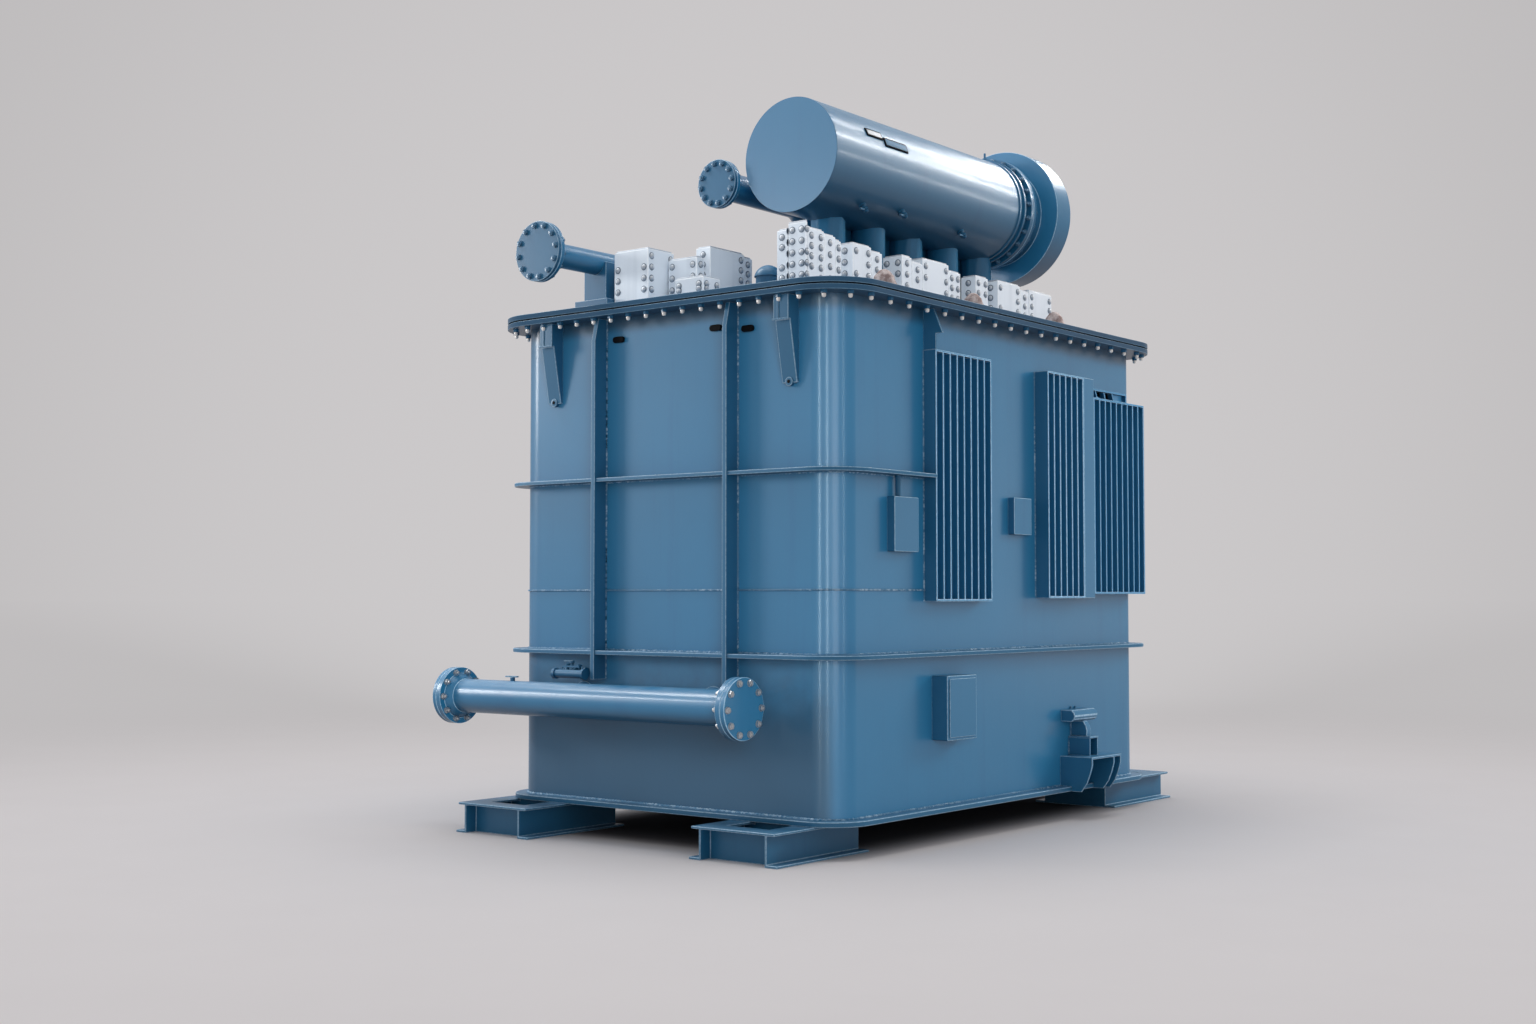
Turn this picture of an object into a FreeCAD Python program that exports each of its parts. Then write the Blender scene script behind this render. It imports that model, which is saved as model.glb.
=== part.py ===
import FreeCAD, Part
import math
import os
import Sketcher

# Oil-filled power transformer, millimetres, +Z up.
# Origin: on the ground under the middle of the tank. -Y is the front with the drain header,
# +X is the right-hand wall.

doc = FreeCAD.newDocument("power_transformer")
dims = doc.addObject("Spreadsheet::Sheet", "dims")

DRIVING = [
    # tank, base and cover
    ("tank_width", 2040),
    ("tank_length", 2900),
    ("tank_corner", 150),
    ("base_thickness", 25),
    ("base_overhang", 65),
    ("rim_height", 2551),
    ("rim_thickness", 25),
    ("rim_overhang", 120),
    ("gasket_thickness", 7),
    ("gasket_recess", 9),
    ("gasket_land", 80),
    ("cover_thickness", 25),
    # stiffeners that run round the wall, and the posts that cross them
    ("lower_band_height", 892),
    ("lower_band_depth", 82),
    ("lower_band_thickness", 20),
    ("middle_band_height", 1740),
    ("middle_band_depth", 80),
    ("middle_band_thickness", 18),
    ("seam_height", 1203),
    ("seam_size", 8),
    ("post_left", 405),
    ("post_right", 435),
    ("post_thickness", 25),
    ("post_depth", 88),
    ("post_foot", 770),
    ("post_neck_depth", 62),
    ("post_neck_height", 115),
    # lifting lugs under the rim
    ("lug_left_inset", 280),
    ("lug_right_inset", 255),
    ("lug_width", 86),
    ("lug_depth", 84),
    ("lug_block_height", 115),
    ("lug_step", 15),
    ("lug_height", 400),
    ("lug_toe", 16),
    # drain header in front of the tank
    ("header_radius", 84),
    ("header_wall", 8),
    ("header_height", 675),
    ("header_standoff", 250),
    ("header_left", 1165),
    ("header_right", 634),
    ("branch_radius", 57),
    ("branch_from_post", 130),
    ("header_flange_reach", 58),
    ("header_flange_thickness", 28),
    ("header_bolt_inset", 22),
    ("header_bolt_radius", 9),
    # cooling panels: place along the wall, heights and depths
    ("panel_plate", 10),
    ("panel_fin", 11),
    ("front_panel_start", -750),
    ("front_panel_width", 508),
    ("front_panel_foot", 1153),
    ("front_panel_height", 1202),
    ("front_panel_depth", 72),
    ("front_panel_fins", 9),
    ("middle_panel_start", 300),
    ("middle_panel_width", 384),
    ("middle_panel_foot", 1167),
    ("middle_panel_height", 1185),
    ("middle_panel_depth", 82),
    ("middle_panel_fins", 7),
    ("rear_panel_start", 796),
    ("rear_panel_width", 588),
    ("rear_panel_foot", 1190),
    ("rear_panel_height", 1065),
    ("rear_panel_depth", 82),
    ("rear_panel_fins", 10),
    ("louvre_height", 60),
    ("louvre_length", 480),
    ("louvre_depth", 30),
    ("louvre_bar", 10),
    ("louvre_first_slat", 38),
    ("louvre_slat_pitch", 96),
    ("ear_plate", 12),
    ("ear_reach", 38),
    ("ear_height", 120),
    # boxes on the right wall
    ("upper_box_width", 200),
    ("upper_box_height", 256),
    ("upper_box_depth", 45),
    ("upper_box_place", -960),
    ("upper_box_foot", 1385),
    ("conduit_radius", 13),
    ("conduit_offset", 40),
    ("middle_box_width", 173),
    ("middle_box_height", 188),
    ("middle_box_depth", 40),
    ("middle_box_place", 110),
    ("middle_box_foot", 1492),
    ("lower_box_width", 261),
    ("lower_box_height", 307),
    ("lower_box_depth", 90),
    ("lower_box_place", -558),
    ("lower_box_foot", 491),
    ("box_corner", 6),
    ("lid_thickness", 6),
    ("lid_margin", 14),
    # jacking brackets
    ("jack_start", 545),
    ("jack_width", 327),
    ("jack_shelf_height", 322),
    ("jack_shelf_depth", 190),
    ("jack_plate", 12),
    ("jack_inner_gusset", 240),
    ("jack_toe", 125),
    ("jack_belly_rise", 44),
    ("jack_shoulder_rise", 96),
    ("jack_nose_rise", 140),
    ("jack_nose", 12),
    ("jack_block_place", 88),
    ("jack_block_width", 92),
    ("jack_block_depth", 130),
    ("jack_block_height", 100),
    ("jack_neck_width", 46),
    ("jack_neck_depth", 100),
    ("jack_neck_height", 80),
    ("jack_bar_length", 252),
    ("jack_bar_depth", 86),
    ("jack_bar_height", 62),
    # skids
    ("skid_height", 150),
    ("skid_length", 690),
    ("skid_front_reach", 340),
    ("skid_rear_reach", 415),
    ("skid_right", 692),
    ("skid_left", 842),
    ("skid_rear_place", 757),
    ("skid_web_spacing", 385),
    ("skid_web", 10),
    ("skid_flange", 60),
    ("skid_flange_thickness", 12),
    ("skid_lip", 45),
    ("skid_window_width", 240),
    ("skid_window_length", 200),
    ("skid_window_edge", 112),
    ("skid_recess", 70),
    # conservator
    ("drum_place", 411),
    ("drum_rise", 738),
    ("drum_radius", 285),
    ("drum_wall", 8),
    ("drum_front", -1000),
    ("drum_back", 800),
    ("drum_collar_proud", 7),
    ("drum_collar_width", 16),
    ("drum_collar_setback", 90),
    ("drum_collar_pitch", 40),
    ("drum_flange_reach", 27),
    ("drum_flange_thickness", 26),
    ("drum_gasket", 4),
    ("drum_gasket_recess", 4),
    ("drum_bolt_inset", 15),
    ("drum_bolt_radius", 8),
    ("neck_step", 8),
    ("pot_front", 964),
    ("pot_length", 150),
    ("pot_radius", 383),
    ("pedestal_first", -690),
    ("pedestal_pitch", 350),
    ("pedestal_radius", 88),
    ("pedestal_pad_width", 250),
    ("pedestal_pad_length", 212),
    ("pedestal_pad_thickness", 14),
    # pipes on the cover
    ("vent_place", -22),
    ("vent_rise", 647),
    ("vent_radius", 72),
    ("vent_front", -1005),
    ("vent_bend", -430),
    ("vent_bend_radius", 150),
    ("vent_flange_reach", 50),
    ("oil_place", -507),
    ("oil_rise", 245),
    ("oil_radius", 60),
    ("oil_reach", 332),
    ("oil_bend", -800),
    ("oil_bend_radius", 130),
    ("oil_flange_reach", 87),
    ("pipe_wall", 6),
    ("pipe_flange_thickness", 22),
    ("pipe_bolt_inset", 20),
    ("pipe_bolt_radius", 8),
    ("saddle_width", 222),
    ("saddle_length", 200),
    ("saddle_foot_height", 54),
    ("saddle_neck_width", 150),
    ("saddle_neck_length", 90),
    ("saddle_neck_setback", 30),
    # cable gland on the cover
    ("gland_place", 430),
    ("gland_setback", 250),
    ("gland_radius", 60),
    ("gland_height", 120),
    ("gland_collar_reach", 15),
    ("gland_collar_height", 16),
    ("gland_cap_reach", 9),
    ("gland_cap_sink", 30),
    ("gland_cap_foot", 18),
    # plugs in the front wall
    ("plug_width", 70),
    ("plug_height", 30),
    ("plug_corner", 13.5),
    ("plug_depth", 16),
    # drain valve on the front wall
    ("valve_from_post", 142),
    ("valve_rise", 36),
    ("valve_standoff", 96),
    ("valve_stub_radius", 17),
    ("valve_body_radius", 21),
    ("valve_body_length", 180),
    ("valve_cap_radius", 27),
    ("valve_cap_length", 16),
    ("valve_stem_radius", 9),
    ("valve_stem_height", 40),
    ("valve_stem_offset", 20),
    ("valve_lever_length", 110),
    ("valve_lever_width", 18),
    ("valve_lever_thickness", 8),
    # gap between the rear panel and the stiffeners behind it
    ("band_clearance", 8),
]

# Counts of bolt holes, and the lean of the louvre's slats in degrees.
HEADER_HOLES = 10
DRUM_HOLES = 24
PIPE_HOLES = 12
LOUVRE_SLATS = 4
LOUVRE_LEAN = 25

# Terminal blocks on the cover: left and right edges, front and back edges behind the plane of
# the front wall, and height above the cover.
FRONT_BLOCKS = [
    ("front_block_outer", -393, -167, 50, 244, 283),
    ("front_block_step", -150, 36, 182, 240, 236),
    ("front_block_low", 10, 189, 50, 178, 106),
    ("front_block_tall", -113, -19, 350, 618, 317),
    ("front_block_back", -113, -29, 622, 698, 305),
]
SIDE_BLOCKS = [
    ("side_block_inner", 525, 589, 195, 337, 304),
    ("side_block_face", 593, 700, 195, 207, 330),
    ("side_block_one", 593, 700, 211, 337, 303),
    ("side_block_two", 605, 700, 341, 429, 290),
    ("side_block_three", 605, 700, 433, 474, 275),
    ("side_block_four", 600, 700, 573, 727, 284),
    ("side_block_five", 600, 700, 731, 821, 266),
    ("side_block_six", 580, 700, 997, 1084, 285),
    ("side_block_seven", 605, 700, 1088, 1182, 265),
    ("side_block_eight", 600, 700, 1186, 1429, 296),
    ("side_block_nine", 610, 700, 1433, 1543, 267),
    ("side_block_ten", 605, 700, 1696, 1818, 277),
    ("side_block_eleven", 605, 700, 1922, 2156, 282),
    ("side_block_twelve", 610, 700, 2160, 2251, 260),
    ("side_block_thirteen", 600, 700, 2258, 2505, 272),
]
# Plugs in the front wall: place along the wall and height above the ground.
PLUGS = [("plug_one", -307, 2443), ("plug_two", 318, 2445), ("plug_three", 512, 2425)]

BLOCK_EDGES = ("left", "right", "front", "back", "height")
PLUG_EDGES = ("place", "height")
entries = list(DRIVING)
for table, edges in ((FRONT_BLOCKS + SIDE_BLOCKS, BLOCK_EDGES), (PLUGS, PLUG_EDGES)):
    for name, *amounts in table:
        entries += [(name + "_" + edge, amount) for edge, amount in zip(edges, amounts)]
for row, (alias, amount) in enumerate(entries, 1):
    dims.set("A%d" % row, alias)
    dims.set("B%d" % row, str(amount))
    dims.setAlias("B%d" % row, alias)
doc.recompute()

# Levels and walls that many pieces share, as expressions on the sheet.
SIDE_WALL = "dims.tank_width / 2"
FRONT_WALL = "-dims.tank_length / 2"
BASE_TOP = "dims.skid_height + dims.base_thickness"
RIM_TOP = "dims.rim_height + dims.rim_thickness"
COVER_FOOT = RIM_TOP + " + dims.gasket_thickness"
COVER_TOP = COVER_FOOT + " + dims.cover_thickness"
HEADER_LINE = "-(dims.tank_length / 2 + dims.header_standoff)"
DRUM_X, DRUM_Z = "dims.drum_place", COVER_TOP + " + dims.drum_rise"

UPRIGHT = FreeCAD.Rotation()
HALF_TURN = FreeCAD.Rotation(FreeCAD.Vector(0, 0, 1), 180)
# local x, y, z run along the row's Y, Z, X
ONTO_SIDE = FreeCAD.Rotation(FreeCAD.Vector(0, 1, 0), FreeCAD.Vector(0, 0, 1), FreeCAD.Vector(1, 0, 0), "ZXY")
# local x, y, z run along the row's X, Z, -Y
ONTO_FRONT = FreeCAD.Rotation(FreeCAD.Vector(1, 0, 0), FreeCAD.Vector(0, 0, 1), FreeCAD.Vector(0, -1, 0), "ZXY")
# local x, y, z run along the row's -Y, Z, -X
ONTO_LEFT = FreeCAD.Rotation(FreeCAD.Vector(0, -1, 0), FreeCAD.Vector(0, 0, 1), FreeCAD.Vector(-1, 0, 0), "ZXY")
# local x, y, z run along the row's X, Z, -Y, and along its -X, Z, Y
RIGHT_RIB = ONTO_FRONT
LEFT_RIB = FreeCAD.Rotation(FreeCAD.Vector(-1, 0, 0), FreeCAD.Vector(0, 0, 1), FreeCAD.Vector(0, 1, 0), "ZXY")
# local z runs along the row's +Y
ALONG_Y = FreeCAD.Rotation(FreeCAD.Vector(1, 0, 0), FreeCAD.Vector(0, 0, -1), FreeCAD.Vector(0, 1, 0), "ZXY")

subparts = []


def amount_of(expression):
    """The expression's value now, in millimetres."""
    return float(dims.evalExpression(expression))


def place(piece, x="0", y="0", z="0", turn=UPRIGHT):
    """Puts a piece at a point given by expressions, turned by a fixed rotation."""
    piece.Placement = FreeCAD.Placement(FreeCAD.Vector(), turn)
    piece.setExpression("Placement.Base.x", x)
    piece.setExpression("Placement.Base.y", y)
    piece.setExpression("Placement.Base.z", z)
    return piece


def keep(piece, label):
    """Marks a piece as a sub-part of its own; the label names its file."""
    piece.Label = label
    subparts.append(piece)
    return piece


def box(name, length, width, height, x="0", y="0", z="0", turn=UPRIGHT):
    piece = doc.addObject("Part::Box", name)
    piece.setExpression("Length", length)
    piece.setExpression("Width", width)
    piece.setExpression("Height", height)
    return place(piece, x, y, z, turn)


def cylinder(name, radius, height, x="0", y="0", z="0", turn=UPRIGHT):
    piece = doc.addObject("Part::Cylinder", name)
    piece.setExpression("Radius", radius)
    piece.setExpression("Height", height)
    return place(piece, x, y, z, turn)


def fused(name, pieces):
    joined = doc.addObject("Part::MultiFuse", name)
    joined.Shapes = pieces
    joined.Refine = True
    return joined


def grouped(name, pieces):
    group = doc.addObject("Part::Compound", name)
    group.Links = pieces
    return group


def less(name, base, tool):
    remainder = doc.addObject("Part::Cut", name)
    remainder.Base = base
    remainder.Tool = tool
    return remainder


def within(name, base, tool):
    overlap = doc.addObject("Part::Common", name)
    overlap.Base = base
    overlap.Tool = tool
    return overlap


def plane_of(body, role):
    return [feature for feature in body.Origin.OriginFeatures if feature.Role == role][0]


def rounded_loop(sketch, half_x, half_y, corner):
    """Adds a rectangle with round corners, centred on the sketch's origin."""
    reach_x, reach_y, radius = amount_of(half_x), amount_of(half_y), amount_of(corner)
    first = sketch.GeometryCount
    inner_x, inner_y = reach_x - radius, reach_y - radius
    sides = [
        ((-inner_x, -reach_y), (inner_x, -reach_y)),
        ((reach_x, -inner_y), (reach_x, inner_y)),
        ((inner_x, reach_y), (-inner_x, reach_y)),
        ((-reach_x, inner_y), (-reach_x, -inner_y)),
    ]
    centres = [(inner_x, -inner_y), (inner_x, inner_y), (-inner_x, inner_y), (-inner_x, -inner_y)]
    up = FreeCAD.Vector(0, 0, 1)
    for number in range(4):
        start, end = sides[number]
        sketch.addGeometry(Part.LineSegment(FreeCAD.Vector(*start), FreeCAD.Vector(*end)))
        circle = Part.Circle(FreeCAD.Vector(*centres[number]), up, radius)
        quarter = math.pi / 2
        sketch.addGeometry(Part.ArcOfCircle(circle, (number - 1) * quarter, number * quarter))
    for number in range(4):
        line, arc = first + 2 * number, first + 2 * number + 1
        following = first + (2 * number + 2) % 8
        sketch.addConstraint(Sketcher.Constraint("Tangent", line, 2, arc, 1))
        sketch.addConstraint(Sketcher.Constraint("Tangent", arc, 2, following, 1))
        sketch.addConstraint(Sketcher.Constraint("Horizontal" if number % 2 == 0 else "Vertical", line))
        if number:
            sketch.addConstraint(Sketcher.Constraint("Equal", first + 1, arc))
    radius_rule = sketch.addConstraint(Sketcher.Constraint("Radius", first + 1, radius))
    sketch.setExpression("Constraints[%d]" % radius_rule, corner)
    reaches = [
        ("DistanceY", first, 1, -1, 1, reach_y, half_y),
        ("DistanceX", -1, 1, first + 2, 1, reach_x, half_x),
        ("DistanceY", -1, 1, first + 4, 1, reach_y, half_y),
        ("DistanceX", first + 6, 1, -1, 1, reach_x, half_x),
    ]
    for kind, one, end_one, two, end_two, amount, expression in reaches:
        rule = sketch.addConstraint(Sketcher.Constraint(kind, one, end_one, two, end_two, amount))
        sketch.setExpression("Constraints[%d]" % rule, expression)


def new_sketch(body, name, role):
    sketch = body.newObject("Sketcher::SketchObject", name)
    sketch.AttachmentSupport = (plane_of(body, role), "")
    sketch.MapMode = "FlatFace"
    return sketch


def pad(body, name, sketch, length):
    feature = body.newObject("PartDesign::Pad", name)
    feature.Profile = sketch
    feature.setExpression("Length", length)
    return feature


def plate(name, half_x, half_y, corner, thickness, hole=None):
    """A flat plate with round corners on local XY; hole gives an inner loop's three sizes."""
    body = doc.addObject("PartDesign::Body", name)
    sketch = new_sketch(body, name + "_outline", "XY_Plane")
    rounded_loop(sketch, half_x, half_y, corner)
    if hole:
        rounded_loop(sketch, *hole)
    pad(body, name + "_pad", sketch, thickness)
    return body


def profile(name, points, thickness):
    """A plate whose outline is a polygon on local XY, with every corner at two expressions."""
    body = doc.addObject("PartDesign::Body", name)
    sketch = new_sketch(body, name + "_outline", "XY_Plane")
    corners = [FreeCAD.Vector(amount_of(x), amount_of(y), 0) for x, y in points]
    count = len(points)
    for number in range(count):
        sketch.addGeometry(Part.LineSegment(corners[number], corners[(number + 1) % count]))
    for number in range(count):
        following = (number + 1) % count
        sketch.addConstraint(Sketcher.Constraint("Coincident", number, 2, following, 1))
        for kind, amount, expression in (
            ("DistanceX", corners[number].x, points[number][0]),
            ("DistanceY", corners[number].y, points[number][1]),
        ):
            rule = sketch.addConstraint(Sketcher.Constraint(kind, -1, 1, number, 1, amount))
            sketch.setExpression("Constraints[%d]" % rule, expression)
    pad(body, name + "_pad", sketch, thickness)
    return body


def ring_of_holes(name, radius, circle, count, depth):
    """Round bars on a circle about local z, to be cut out of a flange."""
    bars = []
    for number in range(count):
        angle = 360.0 * (number + 0.5) / count
        x = "(%s) * cos(%g deg)" % (circle, angle)
        y = "(%s) * sin(%g deg)" % (circle, angle)
        bars.append(cylinder("%s_%d" % (name, number), radius, depth, x, y))
    return grouped(name, bars)


def flange(name, outer, bore, thickness, circle, hole, count):
    """A flange ring or, where bore is None, a blind, on local XY with its holes."""
    disc = cylinder(name + "_disc", outer, thickness)
    holes = ring_of_holes(name + "_holes", hole, circle, count, thickness)
    if bore:
        holes = grouped(name + "_openings", [holes, cylinder(name + "_bore", bore, thickness)])
    return less(name, disc, holes)


# ---------------------------------------------------------------- tank, base and cover
TANK_X, TANK_Y, TANK_R = SIDE_WALL, "dims.tank_length / 2", "dims.tank_corner"


def round_the_tank(proud):
    """Half width, half length and corner of an outline that stands proud of the tank."""
    return [edge + " + " + proud for edge in (TANK_X, TANK_Y, TANK_R)]


base = plate("base_plate", *round_the_tank("dims.base_overhang"), "dims.base_thickness")
keep(place(base, z="dims.skid_height"), "base_plate")

tank = plate("tank_body", TANK_X, TANK_Y, TANK_R, "%s - (%s)" % (RIM_TOP, BASE_TOP))
keep(place(tank, z=BASE_TOP), "tank_body")

rim = plate(
    "rim_flange",
    *round_the_tank("dims.rim_overhang"),
    "dims.rim_thickness",
    hole=(TANK_X, TANK_Y, TANK_R),
)
keep(place(rim, z="dims.rim_height"), "rim_flange")

gasket = plate(
    "cover_gasket",
    *round_the_tank("dims.rim_overhang - dims.gasket_recess"),
    "dims.gasket_thickness",
    hole=[edge + " - dims.gasket_land" for edge in (TANK_X, TANK_Y, TANK_R)],
)
keep(place(gasket, z=RIM_TOP), "cover_gasket")

cover = plate("cover_plate", *round_the_tank("dims.rim_overhang"), "dims.cover_thickness")
keep(place(cover, z=COVER_FOOT), "cover_plate")

# ---------------------------------------------------------------- posts and bands
POST_TOP = "dims.rim_height"
POST_OUTLINE = [
    ("0", "dims.post_foot"),
    ("dims.post_depth", "dims.post_foot"),
    ("dims.post_depth", POST_TOP + " - dims.post_neck_height"),
    ("dims.post_neck_depth", POST_TOP),
    ("0", POST_TOP),
]


def post(name, middle, front):
    """A flat post on the front or the rear wall; its outline lies in the row's YZ plane."""
    piece = profile(name, POST_OUTLINE, "dims.post_thickness")
    if front:
        edge = middle + " + dims.post_thickness / 2"
        return place(piece, x=edge, y=FRONT_WALL, turn=ONTO_LEFT)
    edge = middle + " - dims.post_thickness / 2"
    return place(piece, x=edge, y=TANK_Y, turn=ONTO_SIDE)


front_posts = grouped(
    "front_posts",
    [
        post("front_post_left", "-dims.post_left", True),
        post("front_post_right", "dims.post_right", True),
    ],
)
keep(front_posts, "front_posts")
rear_posts = grouped(
    "rear_posts",
    [
        post("rear_post_left", "-dims.post_left", False),
        post("rear_post_right", "dims.post_right", False),
    ],
)
keep(rear_posts, "rear_posts")
all_posts = grouped("all_posts", [front_posts, rear_posts])


def band(name, proud, thickness, height):
    """A flat bar bent round the tank, with its inner edge on the wall."""
    ring = plate(name, *round_the_tank(proud), thickness, hole=(TANK_X, TANK_Y, TANK_R))
    return place(ring, z=height)


lower_ring = band(
    "lower_ring", "dims.lower_band_depth", "dims.lower_band_thickness", "dims.lower_band_height"
)
keep(less("lower_band", lower_ring, all_posts), "lower_band")

# The middle band and the seam strip stop at the cooling panels on the side walls.
front_zone = box(
    "front_zone",
    "2 * dims.tank_width",
    "dims.tank_length",
    "2 * dims.rim_height",
    x="-dims.tank_width",
    y="dims.front_panel_start - dims.tank_length",
)
REAR_START = "dims.rear_panel_start + dims.rear_panel_width + dims.band_clearance"
rear_zone = box(
    "rear_zone",
    "2 * dims.tank_width",
    "dims.tank_length",
    "2 * dims.rim_height",
    x="-dims.tank_width",
    y=REAR_START,
)
middle_ring = band(
    "middle_ring", "dims.middle_band_depth", "dims.middle_band_thickness", "dims.middle_band_height"
)
front_middle = within("front_middle_part", middle_ring, front_zone)
keep(less("middle_band_front", front_middle, front_posts), "middle_band_front")
rear_middle = within("rear_middle_part", middle_ring, rear_zone)
keep(less("middle_band_rear", rear_middle, rear_posts), "middle_band_rear")

seam_ring = band("seam_ring", "dims.seam_size", "dims.seam_size", "dims.seam_height")
front_seam = within("front_seam_part", seam_ring, front_zone)
keep(less("seam_strip", front_seam, front_posts), "seam_strip")

# ---------------------------------------------------------------- lifting lugs and plugs
LUG_FOOT = "dims.rim_height - dims.lug_height"
LUG_BLOCK = "dims.rim_height - dims.lug_block_height"
LUG_LEFT = "-(dims.tank_width / 2 - dims.lug_left_inset)"
LUG_RIGHT = "dims.tank_width / 2 - dims.lug_right_inset"
LUG_OUTLINE = [
    ("0", LUG_FOOT),
    ("dims.lug_toe", LUG_FOOT),
    ("dims.lug_depth - dims.lug_step", LUG_BLOCK),
    ("dims.lug_depth", LUG_BLOCK),
    ("dims.lug_depth", "dims.rim_height"),
    ("0", "dims.rim_height"),
]


def lug(name, middle, front):
    piece = profile(name, LUG_OUTLINE, "dims.lug_width")
    if front:
        return place(piece, x=middle + " + dims.lug_width / 2", y=FRONT_WALL, turn=ONTO_LEFT)
    return place(piece, x=middle + " - dims.lug_width / 2", y=TANK_Y, turn=ONTO_SIDE)


keep(
    grouped(
        "lifting_lugs_front",
        [lug("front_lug_left", LUG_LEFT, True), lug("front_lug_right", LUG_RIGHT, True)],
    ),
    "lifting_lugs_front",
)
keep(
    grouped(
        "lifting_lugs_rear",
        [lug("rear_lug_left", LUG_LEFT, False), lug("rear_lug_right", LUG_RIGHT, False)],
    ),
    "lifting_lugs_rear",
)

plugs = []
for name, _, _ in PLUGS:
    plug = plate(name, "dims.plug_width / 2", "dims.plug_height / 2", "dims.plug_corner", "dims.plug_depth")
    plugs.append(place(plug, "dims.%s_place" % name, FRONT_WALL, "dims.%s_height" % name, ONTO_FRONT))
keep(grouped("wall_plugs", plugs), "wall_plugs")

# ---------------------------------------------------------------- cooling panels


def cooling_panel(side, which):
    """A finned panel: back plate, sill, head and upright fins in one welded piece."""
    label = "cooling_panel_%s_%s" % (side, which)
    width, height = "dims.%s_panel_width" % which, "dims.%s_panel_height" % which
    depth, fins = "dims.%s_panel_depth" % which, "dims.%s_panel_fins" % which
    body = doc.addObject("PartDesign::Body", label)
    # local x runs along the wall, y up and z away from the wall
    back = new_sketch(body, label + "_back_outline", "XY_Plane")
    rectangle(back, "0", "0", width, height)
    pad(body, label + "_back", back, "dims.panel_plate")
    for edge, low in (("sill", "0"), ("head", height + " - dims.panel_plate")):
        outline = new_sketch(body, "%s_%s_outline" % (label, edge), "XY_Plane")
        rectangle(outline, "0", low, width, low + " + dims.panel_plate")
        pad(body, "%s_%s" % (label, edge), outline, depth)
    blade = new_sketch(body, label + "_fin_outline", "XY_Plane")
    rectangle(blade, "0", "0", "dims.panel_fin", height)
    fin = pad(body, label + "_fin", blade, depth)
    doc.recompute()
    row_of_fins = body.newObject("PartDesign::LinearPattern", label + "_fins")
    row_of_fins.Originals = [fin]
    row_of_fins.Direction = (plane_of(body, "X_Axis"), [""])
    row_of_fins.setExpression("Length", width + " - dims.panel_fin")
    row_of_fins.setExpression("Occurrences", fins)
    body.Tip = row_of_fins
    start, foot = "dims.%s_panel_start" % which, "dims.%s_panel_foot" % which
    if side == "right":
        place(body, SIDE_WALL, start, foot, ONTO_SIDE)
    else:
        place(body, "-" + SIDE_WALL, start + " + " + width, foot, ONTO_LEFT)
    return keep(body, label)


def rectangle(sketch, left, low, right, high):
    """Adds a rectangle with each side at its own expression."""
    x0, y0, x1, y1 = amount_of(left), amount_of(low), amount_of(right), amount_of(high)
    corners = [(x0, y0), (x1, y0), (x1, y1), (x0, y1)]
    for number in range(4):
        start, end = corners[number], corners[(number + 1) % 4]
        sketch.addGeometry(Part.LineSegment(FreeCAD.Vector(*start), FreeCAD.Vector(*end)))
    for number in range(4):
        sketch.addConstraint(Sketcher.Constraint("Coincident", number, 2, (number + 1) % 4, 1))
        sketch.addConstraint(Sketcher.Constraint("Horizontal" if number % 2 == 0 else "Vertical", number))
    for kind, line, amount, expression in (
        ("DistanceX", 0, x0, left),
        ("DistanceY", 0, y0, low),
        ("DistanceX", 2, x1, right),
        ("DistanceY", 2, y1, high),
    ):
        rule = sketch.addConstraint(Sketcher.Constraint(kind, -1, 1, line, 1, amount))
        sketch.setExpression("Constraints[%d]" % rule, expression)


for side in ("right", "left"):
    for which in ("front", "middle", "rear"):
        cooling_panel(side, which)

# The flat bar between the middle and the rear panel is as tall as the middle panel.
BAR_START = "dims.middle_panel_start + dims.middle_panel_width"
BAR_WIDTH = "dims.rear_panel_start - (%s)" % BAR_START
bars = []
for side, x in (("right", SIDE_WALL), ("left", "-%s - dims.middle_panel_depth" % SIDE_WALL)):
    bars.append(
        box(
            "divider_" + side,
            "dims.middle_panel_depth",
            BAR_WIDTH,
            "dims.middle_panel_height",
            x,
            BAR_START,
            "dims.middle_panel_foot",
        )
    )
keep(grouped("panel_dividers", bars), "panel_dividers")


def louvre(side):
    """A shallow frame over the rear panel with leaning slats between its bars."""
    name = "louvre_" + side
    thick, deep = "dims.louvre_bar", "dims.louvre_depth"
    long, high = "dims.louvre_length", "dims.louvre_height"
    frame = [
        box(name + "_back", long, high, "dims.louvre_bar / 2"),
        box(name + "_top", long, thick, deep, y=high + " - " + thick),
        box(name + "_end", thick, high, deep, x=long + " - " + thick),
    ]
    lean = FreeCAD.Rotation(FreeCAD.Vector(0, 0, 1), LOUVRE_LEAN)
    for number in range(LOUVRE_SLATS):
        foot = "dims.louvre_first_slat + %d * dims.louvre_slat_pitch" % number
        frame.append(box("%s_slat_%d" % (name, number), thick, high + " - " + thick, deep, x=foot, turn=lean))
    whole = fused(name, frame)
    level = "dims.rear_panel_foot + dims.rear_panel_height"
    if side == "right":
        return place(whole, SIDE_WALL, "dims.rear_panel_start", level, ONTO_SIDE)
    return place(whole, "-" + SIDE_WALL, "dims.rear_panel_start + " + long, level, ONTO_LEFT)


keep(grouped("louvre_frames", [louvre("right"), louvre("left")]), "louvre_frames")

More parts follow.
